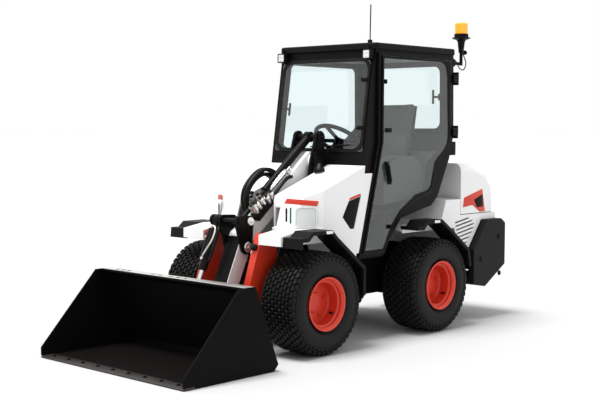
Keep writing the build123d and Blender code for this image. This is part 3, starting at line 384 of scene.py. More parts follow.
def rounded(width: float, height: float, radius: float, middle: Point2 = (0.0, 0.0),
            steps: int = 5) -> list[Point2]:
    """Outline of a rectangle with round corners.

    Args:
        width: Size across.
        height: Size up.
        radius: Radius of the corners.
        middle: Middle point.
        steps: Sides of each corner.

    Returns:
        The outline's points, turning left.
    """
    points = []
    for corner, (sx, sy) in enumerate(((1, 1), (-1, 1), (-1, -1), (1, -1))):
        cx, cy = middle[0] + sx * (width / 2 - radius), middle[1] + sy * (height / 2 - radius)
        for step in range(steps + 1):
            turn = math.pi / 2 * (corner + step / steps)
            points.append((cx + radius * math.cos(turn), cy + radius * math.sin(turn)))
    return points


def route(points: Sequence[Vector], radius: float, name: str = "route") -> bpy.types.Object:
    """Curve object of one smooth NURBS spline through a route's control points.

    Args:
        points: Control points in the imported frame.
        radius: Radius of the round section.
        name: The object's name.

    Returns:
        The linked curve object.
    """
    curve = bpy.data.curves.new(name, "CURVE")
    curve.dimensions = "3D"
    curve.bevel_depth = radius
    curve.bevel_resolution = 3
    curve.resolution_u = 10
    curve.use_fill_caps = True
    spline = curve.splines.new("NURBS")
    spline.points.add(len(points) - 1)
    for point, place in zip(spline.points, points):
        point.co = (*place, 1.0)
    spline.order_u = 3
    spline.use_endpoint_u = True
    obj = bpy.data.objects.new(name, curve)
    bpy.context.scene.collection.objects.link(obj)
    return obj


def settled(obj: bpy.types.Object) -> bpy.types.Mesh:
    """Plain mesh of an object, as its modifiers or its curve leave it."""
    return bpy.data.meshes.new_from_object(obj.evaluated_get(bpy.context.evaluated_depsgraph_get()))


class Shape:
    """A mesh in the making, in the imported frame."""

    def __init__(self) -> None:
        """Starts with no faces."""
        self.mesh = bmesh.new()

    def _join(self, part: bmesh.types.BMesh, bevel: float = 0.0) -> "Shape":
        """Takes in a finished part.

        Args:
            part: Closed faces to take in; it is freed.
            bevel: Width of the part's softened edges.

        Returns:
            This shape.
        """
        bmesh.ops.recalc_face_normals(part, faces=part.faces)
        if bevel:
            edges = [e for e in part.edges
                     if len(e.link_faces) == 2 and e.calc_face_angle(0.0) > SMOOTH_ANGLE]
            bmesh.ops.bevel(part, geom=edges, offset=bevel, segments=2, profile=0.6, affect="EDGES",
                            clamp_overlap=True)
        held = bpy.data.meshes.new("part")
        part.to_mesh(held)
        part.free()
        self.mesh.from_mesh(held)
        bpy.data.meshes.remove(held)
        return self

    def prism(self, outline: Sequence[Point2], low: float, high: float, plane: Plane | Matrix = Plane.SIDE,
              bevel: float = 0.002, holes: Sequence[Sequence[Point2]] = ()) -> "Shape":
        """Adds a drawn outline with a thickness.

        Args:
            outline: The drawing's points.
            low: Depth of one face.
            high: Depth of the other.
            plane: The drawing's plane.
            bevel: Width of the softened edges.
            holes: Outlines left open in it.

        Returns:
            This shape.
        """
        matrix = plane.matrix() if isinstance(plane, Plane) else plane
        part = bmesh.new()
        for depth in (low, high):
            rings = []
            for ring in (outline, *holes):
                corners = [part.verts.new(matrix @ Vector((u, v, depth))) for u, v in ring]
                rings += [part.edges.new((a, b)) for a, b in zip(corners, corners[1:] + corners[:1])]
            if holes:
                bmesh.ops.triangle_fill(part, use_beauty=True, edges=rings)
            else:
                part.faces.new(corners)
        part.verts.index_update()
        verts = list(part.verts)
        half = len(verts) // 2
        start = 0
        for ring in (outline, *holes):
            for k in range(len(ring)):
                a, b = start + k, start + (k + 1) % len(ring)
                part.faces.new((verts[a], verts[b], verts[half + b], verts[half + a]))
            start += len(ring)
        return self._join(part, bevel)

    def rod(self, start: Vector, end: Vector, radius: float, tip: float | None = None, sides: int = 20,
            bevel: float = 0.0015) -> "Shape":
        """Adds a round or many-sided bar between two points.

        Args:
            start: One end.
            end: The other end.
            radius: Radius at the start.
            tip: Radius at the end, where it differs.
            sides: Sides of the bar.
            bevel: Width of its softened rims.

        Returns:
            This shape.
        """
        way = end - start
        turn = way.to_track_quat("Z", "Y").to_matrix().to_4x4()
        part = bmesh.new()
        bmesh.ops.create_cone(part, cap_ends=True, segments=sides, radius1=radius,
                              radius2=radius if tip is None else tip, depth=way.length,
                              matrix=Matrix.Translation((start + end) / 2) @ turn)
        return self._join(part, bevel)

    def lathe(self, profile: Sequence[Point2], centre: Vector, axis: Vector, steps: int = 48) -> "Shape":
        """Adds a turned form.

        Args:
            profile: Closed section as (radius, place along the axis).
            centre: Where the axis starts.
            axis: The axis's direction.
            steps: Sides of the turned form.

        Returns:
            This shape.
        """
        turn = axis.normalized().to_track_quat("Z", "Y").to_matrix()
        part = bmesh.new()
        rings = []
        for step in range(steps):
            angle = 2 * math.pi * step / steps
            rings.append([part.verts.new(centre + turn @ Vector((r * math.cos(angle), r * math.sin(angle),
                                                                 h)))
                          for r, h in profile])
        for ring, following in zip(rings, rings[1:] + rings[:1]):
            for k in range(len(profile)):
                m = (k + 1) % len(profile)
                part.faces.new((ring[k], ring[m], following[m], following[k]))
        bmesh.ops.remove_doubles(part, verts=part.verts, dist=MERGE)
        bmesh.ops.dissolve_degenerate(part, edges=part.edges, dist=1e-7)
        return self._join(part)

    def tube(self, points: Sequence[Vector], radius: float) -> "Shape":
        """Adds a bent pipe.

        Args:
            points: Control points of its route.
            radius: Radius of its round section.

        Returns:
            This shape.
        """
        obj = route(points, radius)
        held = settled(obj)
        part = bmesh.new()
        part.from_mesh(held)
        bmesh.ops.remove_doubles(part, verts=part.verts, dist=MERGE)
        bpy.data.meshes.remove(held)
        bpy.data.objects.remove(obj)
        return self._join(part)

    def take(self, mesh: bpy.types.Mesh) -> "Shape":
        """Takes in a ready mesh.

        Args:
            mesh: The mesh, which is then removed.

        Returns:
            This shape.
        """
        self.mesh.from_mesh(mesh)
        bpy.data.meshes.remove(mesh)
        return self

    def mirrored(self) -> "Shape":
        """Adds the same pieces on the machine's other side.

        Returns:
            This shape.
        """
        copy = bmesh.ops.duplicate(self.mesh,
                                   geom=list(self.mesh.verts) + list(self.mesh.edges) + list(self.mesh.faces))
        for vert in (g for g in copy["geom"] if isinstance(g, bmesh.types.BMVert)):
            vert.co.y = -vert.co.y
        bmesh.ops.reverse_faces(self.mesh, faces=[g for g in copy["geom"] if isinstance(g,
                                                                                        bmesh.types.BMFace)])
        return self

    def piece(self, name: str, look: Look, body: str, replaces: Sequence[str] = ()) -> bpy.types.Object:
        """Makes the shape an object that rides on a body.

        Args:
            name: The piece's name.
            look: Its finish.
            body: The body that it rides on.
            replaces: CAD nodes that it stands for.

        Returns:
            The object.
        """
        mesh = bpy.data.meshes.new(name)
        self.mesh.to_mesh(mesh)
        self.mesh.free()
        mesh.shade_smooth()
        mesh.set_sharp_from_angle(angle=SMOOTH_ANGLE)
        obj = bpy.data.objects.new(name, mesh)
        bpy.context.scene.collection.objects.link(obj)
        look.dress(obj)
        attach(obj, body)
        if replaces:
            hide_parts(*replaces)
        LOG.info("%s: %d faces on %s", name, len(mesh.polygons), body)
        return obj


class Repeats:
    """Geometry Nodes trees for what repeats, and their use."""

    @staticmethod
    def _tree(name: str, inputs: Sequence[tuple[str, str]]) -> tuple:
        """Starts a tree with named inputs and one geometry output.

        Args:
            name: The tree's name.
            inputs: Names and kinds of its inputs.

        Returns:
            The tree, its graph and the sockets of its inputs.
        """
        tree = bpy.data.node_groups.new(name, "GeometryNodeTree")
        for label, kind in inputs:
            tree.interface.new_socket(label, in_out="INPUT", socket_type="NodeSocket" + kind)
        tree.interface.new_socket("Geometry", in_out="OUTPUT", socket_type="NodeSocketGeometry")
        graph = Graph(tree)
        return tree, graph, graph.node("NodeGroupInput").outputs

    @staticmethod
    def _close(graph: Graph, given: object, points: object, rotation: object) -> None:
        """Ends a tree: the block on every point, made real, with its material.

        Args:
            graph: The tree's graph.
            given: Sockets of the tree's inputs.
            points: Where the blocks go.
            rotation: How each block is turned.
        """
        block = graph.node("GeometryNodeObjectInfo", {"Object": given["Block"]})
        placed = graph.node("GeometryNodeInstanceOnPoints", {
            "Points": points, "Instance": block.outputs["Geometry"], "Rotation": rotation})
        real = graph.node("GeometryNodeRealizeInstances", {"Geometry": placed.outputs[0]})
        dressed = graph.node("GeometryNodeSetMaterial", {"Geometry": real.outputs[0],
                                                         "Material": given["Material"]})
        graph.node("NodeGroupOutput", {"Geometry": dressed.outputs[0]})

    @classmethod
    def rings(cls) -> bpy.types.NodeTree:
        """Tree that sets blocks in rows round an axle, every other row shifted by half a step.

        Returns:
            The shared tree.
        """
        found = bpy.data.node_groups.get("rows_round_axle")
        if found:
            return found
        tree, graph, given = cls._tree("rows_round_axle", (
            ("Block", "Object"), ("Count", "Int"), ("Rows", "Int"), ("Radius", "Float"), ("Drop", "Float"),
            ("Offset", "Float"), ("Width", "Float"), ("Tilt", "Float"), ("Lean", "Float"),
            ("Turn", "Float"), ("Material", "Material")))
        index = graph.node("GeometryNodeInputIndex").outputs[0]
        row = graph.math("FLOOR", graph.math("DIVIDE", graph.math("ADD", index, 0.01), given["Count"]))
        step = graph.math("SUBTRACT", index, graph.math("MULTIPLY", row, given["Count"]))
        shift = graph.math("MULTIPLY", graph.math("MODULO", row, 2.0), 0.5)
        turned = graph.math("ADD", graph.math("ADD", step, shift), given["Turn"])
        angle = graph.math("DIVIDE", graph.math("MULTIPLY", turned, 2 * math.pi), given["Count"])
        spans = graph.math("MAXIMUM", graph.math("SUBTRACT", given["Rows"], 1.0), 1.0)
        across = graph.math("SUBTRACT", graph.math("MULTIPLY", graph.math("DIVIDE", row, spans), 2.0), 1.0)
        place = graph.math("MULTIPLY_ADD", across, graph.math("MULTIPLY", given["Width"], 0.5),
                           given["Offset"])
        fall = graph.math("MULTIPLY", given["Drop"], graph.math("POWER", graph.math("ABSOLUTE", across),
                                                                2.4))
        radius = graph.math("SUBTRACT", given["Radius"], fall)
        tilt = graph.math("MULTIPLY_ADD", across, given["Lean"], given["Tilt"])
        cos, sin = graph.math("COSINE", angle), graph.math("SINE", angle)
        flat = graph.math("COSINE", tilt)
        where = graph.node("ShaderNodeCombineXYZ", {
            "X": graph.math("MULTIPLY", radius, cos), "Y": place, "Z": graph.math("MULTIPLY", radius, sin)})
        up = graph.node("ShaderNodeCombineXYZ", {
            "X": graph.math("MULTIPLY", flat, cos), "Y": graph.math("SINE", tilt),
            "Z": graph.math("MULTIPLY", flat, sin)})
        along = graph.node("ShaderNodeCombineXYZ", {"X": graph.math("MULTIPLY", sin, -1.0), "Z": cos})
        turn = graph.node("FunctionNodeAxesToRotation", {"Primary Axis": up.outputs[0],
                                                         "Secondary Axis": along.outputs[0]},
                          primary_axis="Z", secondary_axis="X")
        points = graph.node("GeometryNodePoints", {
            "Count": graph.math("MULTIPLY", given["Count"], given["Rows"]), "Position": where.outputs[0]})
        cls._close(graph, given, points.outputs[0], turn.outputs[0])
        return tree

    @classmethod
    def row(cls) -> bpy.types.NodeTree:
        """Tree that sets blocks in a straight row, facing one way.

        Returns:
            The shared tree.
        """
        found = bpy.data.node_groups.get("row_along_edge")
        if found:
            return found
        tree, graph, given = cls._tree("row_along_edge", (
            ("Block", "Object"), ("Count", "Int"), ("Start", "Vector"), ("End", "Vector"),
            ("Facing", "Vector"), ("Material", "Material")))
        line = graph.node("GeometryNodeMeshLine", {
            "Count": given["Count"], "Start Location": given["Start"], "Offset": given["End"]},
                          mode="END_POINTS")
        turn = graph.node("FunctionNodeAlignRotationToVector", {"Vector": given["Facing"]}, axis="Z")
        cls._close(graph, given, line.outputs[0], turn.outputs[0])
        return tree

    @staticmethod
    def mesh(tree: bpy.types.NodeTree, block: Shape, look: Look, **values: object) -> bpy.types.Mesh:
        """Runs a tree on a block.

        Args:
            tree: The tree.
            block: The block's shape at the origin, used up here.
            look: Finish that the tree sets.
            **values: The tree's other inputs, by name.

        Returns:
            A plain mesh with every block real.
        """
        held = bpy.data.meshes.new("block")
        block.mesh.to_mesh(held)
        block.mesh.free()
        seed = bpy.data.objects.new("block", held)
        host = bpy.data.objects.new("host", bpy.data.meshes.new("host"))
        bpy.context.scene.collection.objects.link(host)
        modifier = host.modifiers.new("repeat", "NODES")
        modifier.node_group = tree
        given = {"Block": seed, "Material": look.value.material(), **values}
        for item in tree.interface.items_tree:
            if item.in_out == "INPUT":
                modifier[item.identifier] = given[item.name]
        made = settled(host)
        host.modifiers.clear()
        bpy.data.objects.remove(host)
        bpy.data.objects.remove(seed)
        bpy.data.meshes.remove(held)
        return made


def bolt_head(size: float, tall: float) -> Shape:
    """Hexagon head at the origin, facing +Z, on its washer.

    Args:
        size: Size across its flats.
        tall: Height of the head.

    Returns:
        The head's shape.
    """
    head = Shape()
    head.rod(Vector((0, 0, -tall * 0.2)), Vector((0, 0, tall * 0.3)), size * 0.72, sides=14, bevel=0.0)
    head.rod(Vector((0, 0, tall * 0.3)), Vector((0, 0, tall)), size * 0.58, tip=size * 0.53, sides=6,
             bevel=0.0)
    return head


def hose(name: str, points: Sequence[Vector], radius: float, body: str) -> None:
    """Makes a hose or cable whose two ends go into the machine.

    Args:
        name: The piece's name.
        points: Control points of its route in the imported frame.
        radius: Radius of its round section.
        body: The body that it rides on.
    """
    curve = route(points, radius, name)
    Look.HOSE.dress(curve)
    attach(curve, body)
    line = route(points, 0.0, "line")
    mesh = settled(line)
    bpy.data.meshes.remove(mesh)
    bpy.data.objects.remove(line)


@dataclass
class Studio:
    """Pale floor, soft light and the camera at the photograph's place."""

    eye: Point3 = (5.9377, 5.2961, 1.4415)
    yaw: float = 222.82
    pitch: float = -3.68
    roll: float = 0.21
    lens: float = 68.67
    floor_size: float = 400.0
    floor_tone: Colour = (0.46, 0.46, 0.46)
    sky: float = 1.0
    sun_from: Point3 = (0.30, -0.10, 1.0)
    sun_power: float = 4.4
    sun_spread: float = math.radians(22)

    def camera(self) -> None:
        """Sets the camera."""
        data = bpy.data.cameras.new("photo_camera")
        data.lens = self.lens
        data.sensor_width = 36.0
        camera = bpy.data.objects.new("photo_camera", data)
        bpy.context.scene.collection.objects.link(camera)
        yaw, pitch = math.radians(self.yaw), math.radians(self.pitch)
        ahead = Vector((math.cos(pitch) * math.cos(yaw), math.cos(pitch) * math.sin(yaw), math.sin(pitch)))
        camera.location = spot(*self.eye)
        camera.rotation_mode = "QUATERNION"
        level = ahead.to_track_quat("-Z", "Y")
        camera.rotation_quaternion = level @ Matrix.Rotation(math.radians(self.roll), 4,
                                                             "Z").to_quaternion()
        bpy.context.scene.camera = camera

    def light(self) -> None:
        """Sets the white sky and the soft overhead key."""
        scene = bpy.context.scene
        scene.view_settings.view_transform = "Standard"
        world = bpy.data.worlds.new("studio")
        scene.world = world
        world.use_nodes = True
        world.node_tree.nodes["Background"].inputs["Color"].default_value = (1.0, 1.0, 1.0, 1.0)
        world.node_tree.nodes["Background"].inputs["Strength"].default_value = self.sky
        data = bpy.data.lights.new("key", "SUN")
        data.energy = self.sun_power
        data.angle = self.sun_spread
        lamp = bpy.data.objects.new("key", data)
        bpy.context.scene.collection.objects.link(lamp)
        lamp.location = spot(0.0, 0.0, 6.0)
        lamp.rotation_mode = "QUATERNION"
        lamp.rotation_quaternion = (-Vector(self.sun_from)).to_track_quat("-Z", "Y")

    def floor(self) -> None:
        """Lays the floor."""
        half = self.floor_size / 2
        mesh = bpy.data.meshes.new("floor")
        mesh.from_pydata([(-half, -half, 0), (half, -half, 0), (half, half, 0), (-half, half, 0)], [],
                         [(0, 1, 2, 3)])
        floor = bpy.data.objects.new("floor", mesh)
        bpy.context.scene.collection.objects.link(floor)
        paper = bpy.data.materials.new("floor_paper")
        paper.use_nodes = True
        shader = paper.node_tree.nodes["Principled BSDF"]
        shader.inputs["Base Color"].default_value = (*self.floor_tone, 1.0)
        shader.inputs["Roughness"].default_value = 0.9
        shader.inputs["Specular IOR Level"].default_value = 0.1
        floor.data.materials.append(paper)

    def build(self) -> None:
        """Sets up the whole studio."""
        self.camera()
        self.light()
        self.floor()


@dataclass
class CadDress:
    """Finishes of the CAD nodes that stay in view."""

    smooth: float = math.radians(32)

    def tree(self) -> bpy.types.NodeTree:
        """Geometry tree that joins a node's loose triangles and shades its round faces smooth.

        Returns:
            The shared tree.
        """
        tree = bpy.data.node_groups.new("smooth_rounds", "GeometryNodeTree")
        tree.interface.new_socket("Geometry", in_out="INPUT", socket_type="NodeSocketGeometry")
        tree.interface.new_socket("Geometry", in_out="OUTPUT", socket_type="NodeSocketGeometry")
        graph = Graph(tree)
        given = graph.node("NodeGroupInput").outputs[0]
        merged = graph.node("GeometryNodeMergeByDistance", {"Geometry": given, "Distance": 1e-5}).outputs[0]
        faces = graph.node("GeometryNodeSetShadeSmooth", {"Geometry": merged, "Shade Smooth": True},
                           domain="FACE")
        angle = graph.node("GeometryNodeInputMeshEdgeAngle").outputs["Unsigned Angle"]
        sharp = graph.math("LESS_THAN", angle, self.smooth)
        edges = graph.node("GeometryNodeSetShadeSmooth", {"Geometry": faces.outputs[0],
                                                          "Shade Smooth": sharp}, domain="EDGE")
        graph.node("NodeGroupOutput", {"Geometry": edges.outputs[0]})
        return tree

    def build(self) -> None:
        """Dresses each node after its slot in the record."""
        looks = {look.value.slot: look for look in reversed(list(Look))}
        # The door glass's own finish carries painted shade of the cab's inside.
        own = {"bucket": Look.BUCKET, "coupler": Look.BUCKET, "bucket_edge": Look.EDGE,
               "door_glass": Look.DOOR_GLASS_SHADED, "tilt_pin": Look.BLACK, "bucket_pin": Look.BLACK}
        tree = self.tree()
        for row in frame["record"]["subparts"]:
            node = frame["nodes"][row["node"]]
            own.get(row["node"], looks[row["material_slot"]]).dress(node)
            node.modifiers.new("smooth_rounds", "NODES").node_group = tree
        LOG.info("dressed %d CAD nodes", len(frame["nodes"]))


@dataclass
class Wheels:
    """Turf tyres with their tread, and the small parts of the rims."""

    axle_x: float = 0.604
    mid: float = 0.450
    height: float = 0.330
    tip: float = 0.3295
    rows: int = 9
    count: int = 46
    tread_width: float = 0.236
    block_long: float = 0.0370
    block_wide: float = 0.0235
    block_tall: float = 0.0135
    valve_turn: float = math.radians(215)

    def block(self, long: float, wide: float, tall: float) -> Shape:
        """Rounded lozenge of the tread, at the origin, facing +Z.

        Args:
            long: Size round the tyre.
            wide: Size across it.
            tall: Height.

        Returns:
            The lozenge's shape.
        """
        outline = ((-0.5, -0.16), (-0.34, -0.5), (0.34, -0.5), (0.5, -0.16), (0.5, 0.16), (0.34, 0.5),
                   (-0.34, 0.5), (-0.5, 0.16))
        shape = Shape()
        rings = []
        for share, z in ((1.0, -0.004), (0.96, tall * 0.75), (0.80, tall)):
            rings.append([shape.mesh.verts.new((u * long * share, v * wide * share,
                                                z)) for u, v in outline])
        for low, high in zip(rings, rings[1:]):
            for k in range(len(outline)):
                m = (k + 1) % len(outline)
                shape.mesh.faces.new((low[k], low[m], high[m], high[k]))
        shape.mesh.faces.new(rings[-1])
        shape.mesh.faces.new(list(reversed(rings[0])))
        bmesh.ops.recalc_face_normals(shape.mesh, faces=shape.mesh.faces)
        return shape

    def tyre(self) -> bpy.types.Mesh:
        """Mesh of one tyre about the origin, its axle along Y.

        Returns:
            The mesh, with its tread.
        """
        half = [
            (0.3165, 0.0), (0.3162, 0.06), (0.314, 0.10), (0.309, 0.123), (0.302, 0.136), (0.290, 0.1432),
            (0.276, 0.1462), (0.272, 0.1464), (0.2705, 0.1482), (0.2655, 0.1484), (0.264, 0.1472),
            (0.240, 0.1490), (0.214, 0.1478), (0.199, 0.1440), (0.1975, 0.1456), (0.1925, 0.1448),
            (0.191, 0.1402), (0.182, 0.1335), (0.170, 0.1250), (0.1535, 0.110),
        ]
        ring = half + [(r, -y) for r, y in reversed(half[1:])]
        tyre = Shape().lathe(ring, Vector((0, 0, 0)), Vector((0, 1, 0)), 112)
        tree = Repeats.rings()
        base = self.tip - self.block_tall
        tyre.take(Repeats.mesh(
            tree, self.block(self.block_long, self.block_wide, self.block_tall), Look.RUBBER,
            Count=self.count, Rows=self.rows, Radius=base, Drop=0.0045, Offset=0.0, Width=self.tread_width,
            Tilt=0.0, Lean=0.14, Turn=0.0))
        for sign in (1, -1):
            for radius, offset, tilt, long, wide, tall, turn in (
                    (0.3045, 0.1335, 0.85, 0.034, 0.019, 0.0095, 0.25),
                    (0.2860, 0.1440, 1.32, 0.0310, 0.018, 0.0050, 0.75)):
                tyre.take(Repeats.mesh(
                    tree, self.block(long, wide, tall), Look.RUBBER, Count=self.count, Rows=1,
                    Radius=radius, Drop=0.0, Offset=sign * offset, Width=0.0, Tilt=sign * tilt, Lean=0.0,
                    Turn=turn))
        made = bpy.data.meshes.new("tyre")
        tyre.mesh.to_mesh(made)
        tyre.mesh.free()
        return made

    def rim_parts(self, tag: str, x: float, side: int) -> None:
        """Valve and hub nuts of one rim.

        Args:
            tag: End and hand of the wheel.
            x: Place of its axle.
            side: 1 on the left, -1 on the right.
        """
        out = Vector((0, side, 0))
        hub = spot(x, side * self.mid, self.height)
        spoke = Vector((math.cos(self.valve_turn), 0, math.sin(self.valve_turn)))
        seat = hub + spoke * 0.126 + out * 0.070
        valve = Shape().rod(seat, seat + out * 0.020 - spoke * 0.006, 0.0085, tip=0.006, sides=14)
        valve.rod(seat + out * 0.018 - spoke * 0.005, seat + out * 0.040 - spoke * 0.012, 0.0042, sides=12)
        valve.piece(f"valve_{tag}", Look.HOSE, f"wheel_{tag}")
        nuts = Shape().take(Repeats.mesh(
            Repeats.rings(), bolt_head(0.019, 0.015), Look.ORANGE, Count=5, Rows=1, Radius=0.098, Drop=0.0,
            Offset=0.0, Width=0.0, Tilt=side * math.pi / 2, Lean=0.0, Turn=0.3))
        nuts.mesh.transform(Matrix.Translation(hub + out * 0.020))
        nuts.piece(f"hub_nuts_{tag}", Look.ORANGE, f"wheel_{tag}")

    def build(self) -> None:
        """Makes the four wheels."""
        tyre = self.tyre()
        for end, x in (("front", self.axle_x), ("rear", -self.axle_x)):
            for hand, side in (("left", 1), ("right", -1)):
                tag = f"{end}_{hand}"
                copy = tyre.copy()
                copy.transform(Matrix.Translation(spot(x, side * self.mid, self.height)))
                Shape().take(copy).piece(f"turf_tyre_{tag}", Look.RUBBER, f"wheel_{tag}", (f"tyre_{tag}",))
                self.rim_parts(tag, x, side)
        bpy.data.meshes.remove(tyre)


@dataclass
class Nose:
    """Lamps, stripes and scoops of the white nose panels, and what stands on them."""

    near: Point2 = (0.470, 0.460)
    far: Point2 = (0.702, 0.302)
    lens_size: Point2 = (0.128, 0.112)
    lens_middle: Point2 = (0.135, 0.865)

    def corner(self) -> Matrix:
        """Drawing on the slanted lamp face.

        Returns:
            Matrix whose sizes go along the face, up it and out of it.
        """
        run = Vector((self.near[0] - self.far[0], self.near[1] - self.far[1], 0.0))
        matrix = tilted((*self.near, 0.0), tuple(-run), (0, 0, 1))
        return matrix @ Matrix.Diagonal((1, 1, -1, 1))

    def lamps(self) -> None:
        """Headlights in their bezels, and the coloured stripes beside them."""
        face = self.corner()
        wide, tall = self.lens_size
        bezel = Shape().prism(rounded(wide + 0.012, tall + 0.012, 0.022, self.lens_middle), 0.0005, 0.014,
                              face, 0.002, (rounded(wide, tall, 0.018, self.lens_middle),))
        bezel.mirrored().piece("headlight_bezels", Look.SILVER, "front_frame")
        lens = Shape().prism(rounded(wide - 0.001, tall - 0.001, 0.017, self.lens_middle), 0.0005, 0.011,
                             face, 0.003)
        for column in range(5):
            u = self.lens_middle[0] + (column - 2) * 0.022
            lens.prism(rounded(0.004, tall * 0.72, 0.0018, (u, self.lens_middle[1])), 0.0105, 0.0125, face,
                       0.0006)
        lens.mirrored().piece("headlight_lenses", Look.LENS, "front_frame", ("headlights",))
        bar = Shape().prism(((0.259, 0.985), (0.050, 0.965), (0.064, 0.933), (0.278, 0.953)), 0.0, 0.004,
                            face, 0.0012)
        bar.mirrored().piece("lamp_stripes", Look.ORANGE, "front_frame")
        slot = Shape().prism(rounded(0.013, 0.088, 0.005, (0.262, 0.880)), 0.0, 0.003, face, 0.001)
        slot.mirrored().piece("lamp_slots", Look.PLASTIC, "front_frame")
        teal = Shape().prism(rounded(0.013, 0.104, 0.005, (0.235, 0.876)), 0.0, 0.003, face, 0.001)
        teal.mirrored().piece("lamp_reflectors", Look.TEAL, "front_frame")

    def scoops(self) -> None:
        """Dark insert and orange strip in each side scoop."""
        floor = BODY_HALF - 0.006
        insert = Shape().prism(((0.229, 0.955), (0.115, 0.980), (0.183, 0.771), (0.218, 0.770),
                                (0.297, 0.851)), floor, floor + 0.003)
        for row in range(6):
            z = 0.800 + row * 0.024
            lead = 0.272 - abs(z - 0.851) * 0.55
            insert.prism(((lead, z), (lead, z + 0.008), (0.196 - (z - 0.771) * 0.34, z + 0.014),
                          (0.196 - (z - 0.771) * 0.34, z + 0.006)),
                         floor + 0.002, floor + 0.0055, bevel=0.001)
        insert.mirrored().piece("scoop_inserts", Look.PLASTIC, "front_frame")
        strip = Shape().prism(((0.225, 0.973), (0.121, 0.998), (0.114, 0.985), (0.230, 0.959)), floor,
                              floor + 0.0055, bevel=0.001)
        strip.mirrored().piece("scoop_strips", Look.ORANGE, "front_frame")

    def markers(self) -> None:
        """Small side lamps on the humps of the fenders, and a bump stop on each post."""
        for name, x, z, body in (("front", 0.600, 0.782, "front_frame"),
                                 ("rear", -0.535, 0.784, "rear_frame")):
            lamp = Shape().prism(rounded(0.062, 0.018, 0.006, (x, z)), 0.599, 0.606, bevel=0.002)
            lamp.mirrored().piece(f"marker_lamps_{name}", Look.SILVER, body)
        stop = Shape().rod(spot(0.868, 0.222, 0.678), spot(0.892, 0.222, 0.686), 0.021, tip=0.023)
        stop.rod(spot(0.890, 0.222, 0.6853), spot(0.904, 0.222, 0.690), 0.023, tip=0.012)
        stop.mirrored().piece("bump_stops", Look.HOSE, "front_frame")

    def tower_lamp(self) -> None:
        """Round lamp on its arm beside the tower."""
        arm = Shape().prism(rounded(0.030, 0.10, 0.010, (0.192, 1.215)), 0.108, 0.116, bevel=0.002)
        arm.rod(spot(0.196, 0.112, 1.185), spot(0.200, 0.150, 1.176), 0.008)
        arm.lathe(((0.0, 0.0), (0.016, 0.0), (0.020, 0.012), (0.036, 0.036), (0.037, 0.056),
                   (0.033, 0.056), (0.030, 0.046), (0.0, 0.044)), spot(0.194, 0.150, 1.190),
                  Vector((0.25, 0.25, -1.0)), 32)
        arm.piece("tower_lamp", Look.HOSE, "front_frame")

    def build(self) -> None:
        """Makes the nose's pieces."""
        self.lamps()
        self.scoops()
        self.markers()
        self.tower_lamp()


